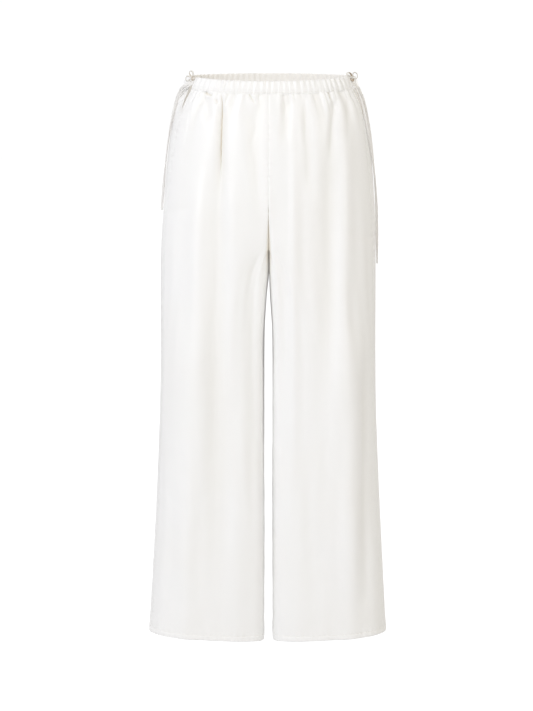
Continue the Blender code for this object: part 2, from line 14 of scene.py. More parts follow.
import bpy
import numpy as np
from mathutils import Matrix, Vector


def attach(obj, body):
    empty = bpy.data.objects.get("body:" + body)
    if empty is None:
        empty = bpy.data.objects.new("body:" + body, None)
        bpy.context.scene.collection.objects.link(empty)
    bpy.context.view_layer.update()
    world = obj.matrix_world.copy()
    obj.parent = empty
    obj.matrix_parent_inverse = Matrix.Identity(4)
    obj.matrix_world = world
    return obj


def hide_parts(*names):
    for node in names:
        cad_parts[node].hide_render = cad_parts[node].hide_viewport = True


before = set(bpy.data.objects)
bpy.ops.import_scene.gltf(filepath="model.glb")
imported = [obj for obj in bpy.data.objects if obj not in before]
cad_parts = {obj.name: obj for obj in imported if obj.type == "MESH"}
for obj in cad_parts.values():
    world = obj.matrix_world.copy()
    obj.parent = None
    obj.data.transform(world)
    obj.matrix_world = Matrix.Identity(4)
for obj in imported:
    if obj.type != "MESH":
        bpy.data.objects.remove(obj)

LOG = logging.getLogger("side_tie_pants")
BODY = "root"
SATIN_SLOT = "satin"
TIE_SLOT = "tie"
TURN = 2 * math.pi
Array = np.ndarray
Color = tuple[float, float, float]


class Side(Enum):
    """The wearer's side, with the sign of X there."""

    LEFT = 1.0
    RIGHT = -1.0

    @property
    def word(self) -> str:
        """The side's name in lower case."""
        return self.name.lower()


class Face(Enum):
    """Front or back of the garment."""

    FRONT = "front"
    BACK = "back"


class CreaseShape(Enum):
    """How a crease's height falls off across it."""

    SOFT = "soft"
    SHARP = "sharp"


class Section(NamedTuple):
    """The garment's outline at one drop, in metres, and how square the leg's inner corners are."""

    drop: float
    left_width: float
    right_width: float
    front_depth: float
    back_depth: float
    seam_forward: float
    half_gap: float
    inner_power: float


SECTIONS = tuple(Section(*row) for row in (
    (0, 0.1565, 0.149, 0.1, 0.112, 0.046, 0.0004, 4.6),
    (0.023, 0.166, 0.157, 0.104, 0.117, 0.046, 0.0004, 4.6),
    (0.045, 0.1755, 0.166, 0.108, 0.122, 0.046, 0.0004, 4.6),
    (0.075, 0.182, 0.174, 0.113, 0.128, 0.046, 0.0004, 4.6),
    (0.105, 0.186, 0.18, 0.116, 0.132, 0.045, 0.0004, 4.6),
    (0.14, 0.1895, 0.185, 0.118, 0.135, 0.044, 0.0004, 4.6),
    (0.235, 0.197, 0.194, 0.119, 0.136, 0.041, 0.0004, 10),
    (0.31, 0.1988, 0.199, 0.117, 0.133, 0.038, 0.0004, 15),
    (0.385, 0.1988, 0.2, 0.1135, 0.128, 0.036, 0.0009, 17),
    (0.44, 0.199, 0.2003, 0.1105, 0.124, 0.034, 0.0046, 16),
    (0.5, 0.1995, 0.2005, 0.107, 0.1195, 0.033, 0.0084, 14),
    (0.61, 0.2015, 0.203, 0.101, 0.112, 0.031, 0.0085, 10),
    (0.76, 0.2075, 0.209, 0.0945, 0.1035, 0.029, 0.0085, 7.6),
    (0.91, 0.2155, 0.2175, 0.089, 0.096, 0.028, 0.0085, 6.2),
    (1.045, 0.223, 0.226, 0.085, 0.0905, 0.028, 0.0085, 5.4),
))

# Half the opening between front and back: drop and half width, in millimetres.
VENT = ((0, 4.8), (23, 4.6), (36, 3.6), (50, 2.2), (64, 0))

# Long soft ridges or, with a negative height, troughs, in millimetres: x at the top and at the
# bottom (positive on the wearer's left), drop at the top and at the bottom, height and width.
FOLDS = {
    Face.FRONT: (
        (-85, -88, 30, 240, -6.9, 5.5), (-89, -97, 100, 1020, -7.5, 15), (-124, -131, 150, 700, 5, 14),
        (-66, -70, 150, 640, 4.7, 13), (-33, -16, 30, 260, -4.4, 8), (-30, -24, 280, 900, -3.7, 13),
        (-112, -110, 28, 85, -4.4, 6), (-150, -160, 420, 1040, 5, 15), (31, 28, 28, 130, -3.7, 6),
        (48, 49, 60, 800, 3.2, 7), (70, 76, 30, 240, -4.2, 7), (117, 119, 28, 160, -5, 6),
        (119, 112, 80, 640, -6.9, 14), (138, 134, 60, 700, 5.6, 12), (150, 158, 420, 1044, 6.9, 13),
        (180, 184, 480, 1044, -5.6, 9),
    ),
    Face.BACK: (
        (-30, -34, 28, 180, -4.2, 7), (-62, -70, 28, 320, -6.3, 9), (-92, -100, 90, 1000, -6.9, 15),
        (-126, -134, 60, 620, 5.2, 13), (-150, -170, 260, 1040, 5.6, 15), (-46, -52, 380, 1030, 4.5, 14),
        (26, 30, 28, 150, -4, 6.5), (50, 60, 28, 260, -5.5, 8), (86, 108, 60, 1010, -7.5, 15),
        (118, 146, 60, 700, 5.6, 13), (140, 176, 300, 1040, -4.4, 13), (44, 56, 400, 1030, 4.7, 14),
    ),
}

# Creases: height and width in millimetres, shape, and a route of (x, drop) points in millimetres.
CREASES = {
    Face.FRONT: (
        (-5.2, 1.6, CreaseShape.SHARP, ((-86, 24), (-84, 42), (-87, 74), (-88.7, 131), (-90, 210))),
        (-4.2, 2, CreaseShape.SOFT, ((-116, 23), (-112, 27), (-105, 29), (-98, 25))),
        (-3.6, 1.9, CreaseShape.SOFT, ((-95, 35), (-93, 46))),
        (-4.2, 1.7, CreaseShape.SHARP, ((-35.5, 23), (-30, 32), (-22.5, 43))),
        (-1.2, 4, CreaseShape.SOFT, ((-22.5, 44), (-22.8, 89), (-31.6, 112), (-35.3, 160), (-34, 200))),
        (-1.8, 3.4, CreaseShape.SOFT, ((28, 24), (28, 50), (27.5, 80))),
        (-1.8, 3.6, CreaseShape.SOFT, ((66, 24), (66, 70), (68, 135))),
        (-4.6, 1.8, CreaseShape.SHARP, ((107, 22), (111, 30), (113.5, 42))),
        (-1.3, 4.2, CreaseShape.SOFT, ((124.5, 32), (118.5, 75), (113, 131), (112, 170))),
        (-1.1, 4, CreaseShape.SOFT, ((148, 28), (144, 95), (143, 130))),
        (1.2, 4.5, CreaseShape.SOFT, ((44, 50), (43, 400), (43.5, 720))),
        (-0.8, 1.4, CreaseShape.SHARP,
         ((-128.2, 24), (-133.8, 30), (-139, 45), (-143, 62), (-147.7, 96), (-159.5, 165))),
        (-0.9, 5, CreaseShape.SOFT, ((-186, 251), (-158, 243), (-124, 236))),
        (-0.9, 6, CreaseShape.SOFT, ((190, 300), (165, 286), (135, 282))),
    ),
    Face.BACK: (
        (-4.4, 1.7, CreaseShape.SHARP, ((-60, 24), (-63, 50), (-66, 110), (-69, 180))),
        (-3.8, 1.6, CreaseShape.SHARP, ((49, 23), (52, 45), (54, 90), (58, 150))),
        (-2.6, 2.8, CreaseShape.SOFT, ((-104, 24), (-108, 40), (-109, 75))),
        (-2.2, 3.2, CreaseShape.SOFT, ((94, 24), (98, 48), (104, 90))),
        (-3, 1.6, CreaseShape.SHARP, ((12, 23), (16, 34), (23, 47))),
        (-2, 3.6, CreaseShape.SOFT, ((-30, 24), (-31, 70), (-34, 120))),
        (-1, 6, CreaseShape.SOFT, ((-150, 262), (-110, 290), (-60, 300))),
        (-1, 6, CreaseShape.SOFT, ((160, 270), (118, 298), (65, 306))),
    ),
}

# Half of the knot's axis in the frame of a vent, in millimetres: along, out, up and the radius.
KNOT = (
    (4.5, 1.2, 0.2, 1.4), (3.8, 1.2, 0.3, 1.8), (2.7, 2.1, 0.5, 2.8), (1.3, 3.4, 0.7, 3.7),
    (0, 3.8, 0.8, 4.1),
)

# Points of the bow's loops in the frame of a vent, in millimetres: along to the front, out and up.
LOOPS = {
    (Side.LEFT, Face.FRONT): (
        (2.2, 4.5, 4.6), (4.6, 4.4, 8.6), (8.6, 3.4, 12), (13.6, 2.2, 13.2), (17.4, 1.8, 11.2),
        (16.8, 2.6, 8.4), (12.6, 5, 6.4), (7.6, 6.8, 3.8), (3.8, 6.8, 2.2),
    ),
    (Side.LEFT, Face.BACK): (
        (-2.2, 4.8, 5.1), (-2.6, 3.8, 8.4), (-3.4, 3.2, 11.4), (-4.6, 6, 13.4), (-5.8, 9.4, 11.6),
        (-6.4, 11, 7.6), (-6.2, 10.2, 3.6), (-5.4, 8.2, 1.4), (-3.8, 6.1, 1.3),
    ),
    (Side.RIGHT, Face.FRONT): (
        (2.2, 4.5, 4.6), (4.2, 5.6, 8.4), (5.6, 7.2, 11.6), (4.2, 9, 13.6), (0.8, 10.2, 13),
        (-1.2, 10.2, 10), (-0.6, 8.9, 6.6), (0, 7.2, 3.8),
    ),
    (Side.RIGHT, Face.BACK): (
        (-3.5, 6, 2.6), (-6.2, 8.6, 4.2), (-8.2, 11.6, 3.4), (-8.6, 13.6, 0.2), (-7.2, 13.4, -3.2),
        (-5.4, 11.2, -4.2), (-3.8, 9, -2.6), (-2.5, 7.3, -0.8),
    ),
}

# Where the free ends leave the knot, in the same frame.
TAIL_STARTS = {
    Face.FRONT: ((2.4, 4.8, -3.9), (2.5, 5.2, -7.5)),
    Face.BACK: ((-2.3, 4.6, -3.6), (-2.9, 5.7, -7)),
}

# Routes of the free ends, in millimetres: drop, distance forward of the middle plane and lift off
# the cloth.
TAIL_ROUTES = {
    (Side.LEFT, Face.FRONT): (
        (22.5, 42.5, 5.1), (31, 42.2, 4.7), (43, 42, 4), (60, 41.8, 3.4), (82, 40.5, 3.1), (106, 37, 3.1),
        (131, 31.8, 3.1), (157, 25.5, 3.1), (184, 19, 3.1), (211, 13.8, 3.1), (239, 10, 3.1),
        (267, 7.4, 3.1), (295, 5.8, 3.1), (322, 5, 3.1), (348, 4.6, 3.2),
    ),
    (Side.LEFT, Face.BACK): (
        (22, 36.2, 6), (30, 34.6, 5.4), (41, 33.6, 4.5), (56, 32.8, 3.6), (75, 31.2, 3.1), (96, 28.4, 3.1),
        (119, 24, 3.1), (143, 18.4, 3.1), (169, 12.2, 3.1), (195, 6.6, 3.1), (221, 2.2, 3.1),
        (247, -1, 3.1), (273, -3, 3.1), (299, -4.2, 3.1), (324, -4.8, 3.2),
    ),
    (Side.RIGHT, Face.FRONT): (
        (21.5, 47, 5.2), (27.5, 40, 5), (35, 33.5, 4.5), (44, 27.5, 3.8), (55, 22.5, 3.3), (68, 18.5, 3.1),
        (83, 15.5, 3.1), (100, 13.2, 3.1), (118, 11.5, 3.1), (137, 10.1, 3.1), (157, 9.1, 3.1),
        (178, 8.4, 3.1), (200, 7.9, 3.1), (224, 7.6, 3.1), (248, 7.5, 3.2),
    ),
    (Side.RIGHT, Face.BACK): (
        (20, 38.5, 6.6), (25, 30, 6.2), (32, 22, 5.3), (41, 15, 4.3), (52, 9.5, 3.5), (65, 5.5, 3.1),
        (80, 2.8, 3.1), (96, 1, 3.1), (113, -0.2, 3.1), (131, -1, 3.1), (150, -1.5, 3.1), (170, -1.8, 3.1),
        (191, -2, 3.1), (213, -2.1, 3.1), (235, -2.2, 3.2),
    ),
}


def metres(rows: Sequence[Sequence[float]]) -> Array:
    """A table of millimetres in metres."""
    return np.array(rows, dtype=float) / 1000.0


def smooth(value: Array | float) -> Array:
    """Ease from 0 to 1 with level ends: 3 t squared less 2 t cubed."""
    t = np.clip(value, 0.0, 1.0)
    return t * t * (3.0 - 2.0 * t)


def wave(turns: Array | float, shift: Array | float = 0.0) -> Array:
    """Sine of a number of turns, shifted by an angle in radians."""
    return np.sin(TURN * turns + shift)


def bell(distance: Array | float, reach: float) -> Array:
    """Gaussian of a distance, 1 over e at the reach."""
    return np.exp(-(distance / reach) ** 2)


def unit(vectors: Array) -> Array:
    """Scale vectors, held in the last axis, to length 1."""
    return vectors / np.maximum(np.linalg.norm(vectors, axis=-1, keepdims=True), 1e-12)


def section(name: str, drop: Array | float) -> Array:
    """Read one column of the sections on the cubic curve through its rows.

    Args:
        name: The column.
        drop: Drops to read at.

    Returns:
        The column's value at each drop.
    """
    drops = np.array([row.drop for row in SECTIONS])
    values = np.array([getattr(row, name) for row in SECTIONS])
    slopes = np.gradient(values, drops)
    at = np.clip(drop, drops[0], drops[-1])
    i = np.clip(np.searchsorted(drops, at) - 1, 0, len(drops) - 2)
    step = drops[i + 1] - drops[i]
    t = (at - drops[i]) / step
    start = (1 + 2 * t) * (1 - t) ** 2 * values[i] + t * (1 - t) ** 2 * step * slopes[i]
    end = t * t * (3 - 2 * t) * values[i + 1] + t * t * (t - 1) * step * slopes[i + 1]
    return start + end


def running_length(points: Array) -> Array:
    """Length along lines of points, whose points are in the second last axis, from the first point."""
    steps = np.linalg.norm(np.diff(points, axis=-2), axis=-1)
    start = np.zeros(steps.shape[:-1] + (1,))
    return np.concatenate((start, np.cumsum(steps, axis=-1)), axis=-1)


def pick(points: Array, lengths: Array, at: Array) -> Array:
    """Points of one line at the given lengths along it."""
    return np.column_stack([np.interp(at, lengths, points[:, k]) for k in range(points.shape[1])])


def smooth_line(points: Array, step: float, fineness: int = 24) -> Array:
    """Even points on the Catmull-Rom curve through the given points.

    Args:
        points: Route points; further columns than three are carried along.
        step: Distance between the new points, about.
        fineness: Points of the curve to measure by in each stretch.

    Returns:
        The new points with the same columns.
    """
    padded = np.vstack((2 * points[0] - points[1], points, 2 * points[-1] - points[-2]))
    t = np.linspace(0.0, 1.0, fineness, endpoint=False)[None, :, None]
    a, b, c, d = (padded[k:len(padded) - 3 + k, None, :] for k in range(4))
    curve = 0.5 * (2 * b + (c - a) * t + (2 * a - 5 * b + 4 * c - d) * t ** 2
                   + (3 * b - a - 3 * c + d) * t ** 3)
    dense = np.vstack((curve.reshape(-1, points.shape[1]), points[-1:]))
    lengths = running_length(dense[:, :3])
    count = max(int(round(lengths[-1] / step)), 2)
    return pick(dense, lengths, np.linspace(0.0, lengths[-1], count + 1))


def grid_normals(grid: Array, outward: Array) -> Array:
    """Unit normals of a grid: the cross product of its two gradients, turned to agree with outward.

    Args:
        grid: Points as rows x columns x 3.
        outward: Directions outward at the points.

    Returns:
        The normals.
    """
    normals = unit(np.cross(np.gradient(grid, axis=1), np.gradient(grid, axis=0)))
    return -normals if np.sum(normals * outward, axis=2).mean() < 0.0 else normals


@dataclass(frozen=True)
class GarmentForm:
    """The filled-out form that the cloth follows, with the same named sizes as the solids."""

    outseam: float = 1.045
    crotch_drop: float = 0.312
    casing_height: float = 0.023
    hem_height: float = 0.010
    front_dip: float = 0.010
    back_rise: float = 0.004
    edge_shape_reach: float = 0.22
    hem_slant: float = 0.0045
    hem_slant_start: float = 0.70
    crotch_curve_start: float = 0.230
    crotch_curve_end: float = 0.350
    crotch_ease: float = 0.30
    inseam_ease: float = 0.07
    leg_parting_start: float = 0.212
    leg_parting_reach: float = 0.055
    touch_sway: float = 0.002
    touch_start: float = 0.225
    touch_end: float = 0.385
    touch_fade: float = 0.055
    leg_shape_start: float = 0.14
    leg_shape_reach: float = 0.46
    outer_power: float = 2.3
    gather_pitch: float = 0.0103
    ring_steps: int = 160
    probe_reach: float = 0.004
    vent_turn_reach: float = 0.25
    vent_turns: dict[Side, float] = field(default_factory=lambda: {Side.LEFT: -0.005, Side.RIGHT: 0.005})
    knot_drops: dict[Side, float] = field(default_factory=lambda: {Side.LEFT: 0.006, Side.RIGHT: 0.003})

    @property
    def crotch_reach(self) -> float:
        """Length of row scale over which the crotch seam turns under."""
        return self.crotch_curve_end - self.crotch_curve_start

    @property
    def turned_drop(self) -> float:
        """Drop at which the crotch seam has turned under, with its rounding."""
        return self.crotch_curve_end + self.crotch_ease * self.crotch_reach

    def crotch_turn(self, drop: Array) -> Array:
        """Angle that the crotch seam has turned through, from hanging (0) to under (90 degrees).

        It grows evenly and is rounded off by crotch_ease, a share of its reach, on both sides of its end.

        Args:
            drop: Drops.

        Returns:
            The angles in radians.
        """
        share = np.maximum((drop - self.crotch_curve_start) / self.crotch_reach, 0.0)
        over = np.clip(share - 1.0 + self.crotch_ease, 0.0, 2.0 * self.crotch_ease)
        eased = np.minimum(share, 1.0 + self.crotch_ease) - over ** 2 / (4.0 * self.crotch_ease)
        return 0.5 * math.pi * np.minimum(eased, 1.0)

    def by_height(self, drop: Array, curved: Array, below: Array) -> Array:
        """The drop itself above the crotch's curve, curved along it, and below under it."""
        lower = np.where(drop <= self.turned_drop, curved, below)
        return np.where(drop <= self.crotch_curve_start, drop, lower)

    def inner_edge_drop(self, drop: Array) -> Array:
        """Drop of the inner edge on the row whose outer side lies at the given drop.

        Below the crotch's point it starts level and gathers pace over twice inseam_ease, a share of the
        leg, and then falls evenly to the hem.

        Args:
            drop: Drops.

        Returns:
            The inner edge's drops.
        """
        rise = self.crotch_drop - self.crotch_curve_start
        curved = self.crotch_curve_start + rise * np.sin(self.crotch_turn(drop))
        share = np.maximum((drop - self.turned_drop) / (self.outseam - self.turned_drop), 0.0)
        ease = self.inseam_ease
        eased = np.where(share < 2.0 * ease, share ** 2 / (4.0 * ease), share - ease) / (1.0 - ease)
        return self.by_height(drop, curved, self.crotch_drop + eased * (self.outseam - self.crotch_drop))

    def inner_row(self, drop: Array) -> Array:
        """Row of the plain scale, even from the crotch's point to the hem, whose inner edge lies here.

        Args:
            drop: Drops.

        Returns:
            The rows.
        """
        turned = self.crotch_curve_start + self.crotch_reach * self.crotch_turn(drop) / (0.5 * math.pi)
        share = (self.inner_edge_drop(drop) - self.crotch_drop) / (self.outseam - self.crotch_drop)
        below = self.crotch_curve_end + share * (self.outseam - self.crotch_curve_end)
        return self.by_height(drop, turned, below)

    def quarter_rings(self, side: Side, drop: Array, depth: Array) -> tuple[Array, ...]:
        """Quarter rings from the inner edge to the outermost point.

        The outer part is a rounded quarter of power outer_power, of the trunk and lower down of the leg.
        The inner part is as flat as the trunk above the crotch seam and returns along the leg's inner
        side below it.

        Args:
            side: The wearer's side.
            drop: Drops as a column.
            depth: The rings' depths as a column.

        Returns:
            x and y, a row for each drop, and the columns edge_x, middle and width.
        """
        width = section(f"{side.word}_width", drop)
        power = section("inner_power", drop)
        leg = smooth((drop - self.leg_shape_start) / self.leg_shape_reach)
        parting = smooth((drop - self.leg_parting_start) / self.leg_parting_reach)
        edge_x = section("half_gap", self.inner_row(drop)) * parting
        middle = 0.5 * (width + edge_x)
        turn = np.linspace(0.5 * math.pi, 0.0, self.ring_steps)[None, :]
        inner_turn = 0.5 * math.pi * np.linspace(1.0, 0.0, self.ring_steps)[None, :] ** 2
        inner_x = middle - (middle - edge_x) * np.sin(inner_turn) ** (2.0 / power)
        outer_x = middle + (width - middle) * np.cos(turn) ** (2.0 / self.outer_power)

        def trunk_depth(x: Array) -> Array:
            """Depth of the trunk's rounded outline at x."""
            share = np.clip(x / width, 0.0, 1.0) ** self.outer_power
            return depth * (1.0 - share) ** (1.0 / self.outer_power)

        inner_y = (1.0 - leg) * trunk_depth(inner_x) + leg * depth
        under = depth * (1.0 - np.cos(self.crotch_turn(drop)))
        inner_y = inner_y - under * (1.0 - np.cos(inner_turn) ** (2.0 / power))
        outer_y = (1.0 - leg) * trunk_depth(outer_x) + leg * depth * np.sin(turn) ** (2.0 / self.outer_power)
        x = np.concatenate((inner_x, outer_x[:, 1:]), axis=1)
        y = np.concatenate((inner_y, outer_y[:, 1:]), axis=1)
        return x, y, edge_x, middle, width

    def half_rings(self, side: Side, drops: Array) -> Array:
        """Half rings from the front's inner edge over the side to the back's.

        Args:
            side: The wearer's side.
            drops: One drop for each ring.

        Returns:
            Points as rings x steps x 3.
        """
        drop = np.asarray(drops, dtype=float)[:, None]
        front_depth, back_depth = section("front_depth", drop), section("back_depth", drop)
        x, front_y, edge_x, middle, width = self.quarter_rings(side, drop, front_depth)
        back_x, back_y, _, _, _ = self.quarter_rings(side, drop, back_depth)
        x = np.concatenate((x, back_x[:, ::-1][:, 1:]), axis=1)
        y = np.concatenate((-front_y, back_y[:, ::-1][:, 1:]), axis=1)

        inner_share = np.clip((middle - x) / (middle - edge_x), 0.0, 1.0) ** 2
        z = -(drop + (self.inner_edge_drop(drop) - drop) * inner_share)
        edge_shape = 1.0 - smooth(drop / self.edge_shape_reach)
        front_share = np.clip(-y / front_depth, 0.0, 1.0) ** 2
        back_share = np.clip(y / back_depth, 0.0, 1.0) ** 2
        z = z + edge_shape * (self.back_rise * back_share - self.front_dip * front_share)
        slant = smooth((drop - self.hem_slant_start) / (self.outseam - self.hem_slant_start))
        z = z + self.hem_slant * slant * (x - middle) / (width - middle)

        at = self.inner_row(drop)
        touch = smooth((at - self.touch_start) / self.touch_fade)
        touch = touch * (1.0 - smooth((at - self.touch_end) / self.touch_fade))
        sway = self.touch_sway * touch * inner_share * (1.0 - np.maximum(front_share, back_share))
        return np.stack((side.value * x + sway, y, z), axis=-1)

    def seam_forward(self, side: Side, drop: Array | float) -> Array:
        """Distance of the side seam forward of the middle plane."""
        turn = self.vent_turns[side] * (1.0 - smooth(drop / self.vent_turn_reach))
        return section("seam_forward", drop) + turn

    def panel_ends(self, side: Side, face: Face, drop: float, ring: Array,
                   lengths: Array) -> tuple[float, float]:
        """Find where a panel's row lies on its half ring.

        Args:
            side: The wearer's side.
            face: Front or back.
            drop: The row's drop.
            ring: The half ring's points.
            lengths: Their lengths along it.

        Returns:
            Lengths along the ring of the row's inner edge and of its edge at the side seam or the vent.
        """
        outer = slice(self.ring_steps, 2 * self.ring_steps - 1)
        seam = float(np.interp(-self.seam_forward(side, drop), ring[outer, 1], lengths[outer]))
        gap = float(np.interp(drop, *metres(VENT).T))
        return (0.0, seam - gap) if face is Face.FRONT else (lengths[-1], seam + gap)

    def panel_base(self, side: Side, face: Face, drops: Array, shares: Array) -> Array:
        """Plain surface of a panel, before folds.

        Args:
            side: The wearer's side.
            face: Front or back.
            drops: Drop of each row.
            shares: Place of each column, from the inner edge (0) to the side seam (1).

        Returns:
            Points as rows x columns x 3.
        """
        rings = self.half_rings(side, drops)
        rows = []
        for drop, ring, lengths in zip(drops, rings, running_length(rings)):
            start, end = self.panel_ends(side, face, drop, ring, lengths)
            rows.append(pick(ring, lengths, start + (end - start) * shares))
        return np.array(rows)

    def waist_line(self, face: Face, drop: float) -> Array:
        """The ring of one casing at a drop, from the wearer's right vent to the left one.

        Args:
            face: Front or back.
            drop: Drops.

        Returns:
            The line's points.
        """
        shares = np.linspace(0.0, 1.0, 2 * self.ring_steps)
        right = self.panel_base(Side.RIGHT, face, np.array([drop]), shares)[0]
        left = self.panel_base(Side.LEFT, face, np.array([drop]), shares)[0]
        return np.concatenate((right[::-1], left[1:]))

    def gather_phase(self, face: Face, share: Array) -> Array:
        """Phase of the gathers, one turn for each, at a share of the casing's length."""
        uneven = 0.5 * wave(3.7 * share) + 0.4 * wave(8.3 * share, 1.0)
        return TURN * self.gather_count(face) * share + uneven

    def gather_count(self, face: Face) -> int:
        """Number of gathers in one casing."""
        return round(running_length(self.waist_line(face, 0.0))[-1] / self.gather_pitch)

    def casing_share(self, side: Side, face: Face, shares: Array) -> Array:
        """Share of the casing's length over a panel's columns, so that gathers run on below it.

        Args:
            side: The wearer's side.
            face: Front or back.
            shares: Places of the columns.

        Returns:
            The shares.
        """
        lengths = running_length(self.waist_line(face, self.casing_height))
        half = lengths[2 * self.ring_steps - 1] / lengths[-1]
        return half * (1.0 - shares) if side is Side.RIGHT else half + (1.0 - half) * shares

    def cloth_point(self, side: Side, drop: float, forward: float) -> tuple[Array, Array]:
        """A point on the outer side of the cloth and the normal there.

        Args:
            side: The wearer's side.
            drop: The point's drop.
            forward: Its distance forward of the middle plane.

        Returns:
            The point, and the normal away from the body.
        """
        reach = self.probe_reach
        rings = self.half_rings(side, np.array([drop, drop + reach, max(drop - reach, 0.0)]))
        rings = rings[:, self.ring_steps:3 * self.ring_steps]

        def on_ring(number: int, at: float) -> Array:
            """Point of one of the three rings."""
            return pick(rings[number], rings[number, :, 1], np.array([-at]))[0]

        down = on_ring(1, forward) - on_ring(2, forward)
        across = on_ring(0, forward - reach) - on_ring(0, forward + reach)
        normal = unit(np.cross(down, across))
        return on_ring(0, forward), (-normal if normal[0] * side.value < 0.0 else normal)

    def vent_frame(self, side: Side) -> tuple[Array, Array, Array, Array]:
        """Centre of the vent at the knot, and its directions: to the front, out and up.

        Args:
            side: The wearer's side.

        Returns:
            The centre and the three directions.
        """
        drop = self.knot_drops[side]
        centre, out = self.cloth_point(side, drop, section("seam_forward", drop) + self.vent_turns[side])
        out = unit(out * (1.0, 1.0, 0.0))
        up = np.array((0.0, 0.0, 1.0))
        front = np.cross(up, out)
        return centre, (-front if front[1] > 0.0 else front), out, up

    def bow_points(self, side: Side, places: Array) -> Array:
        """Points given in the frame of one side's vent, in the garment's frame."""
        centre, front, out, up = self.vent_frame(side)
        return centre + places[:, :1] * front + places[:, 1:2] * out + places[:, 2:3] * up


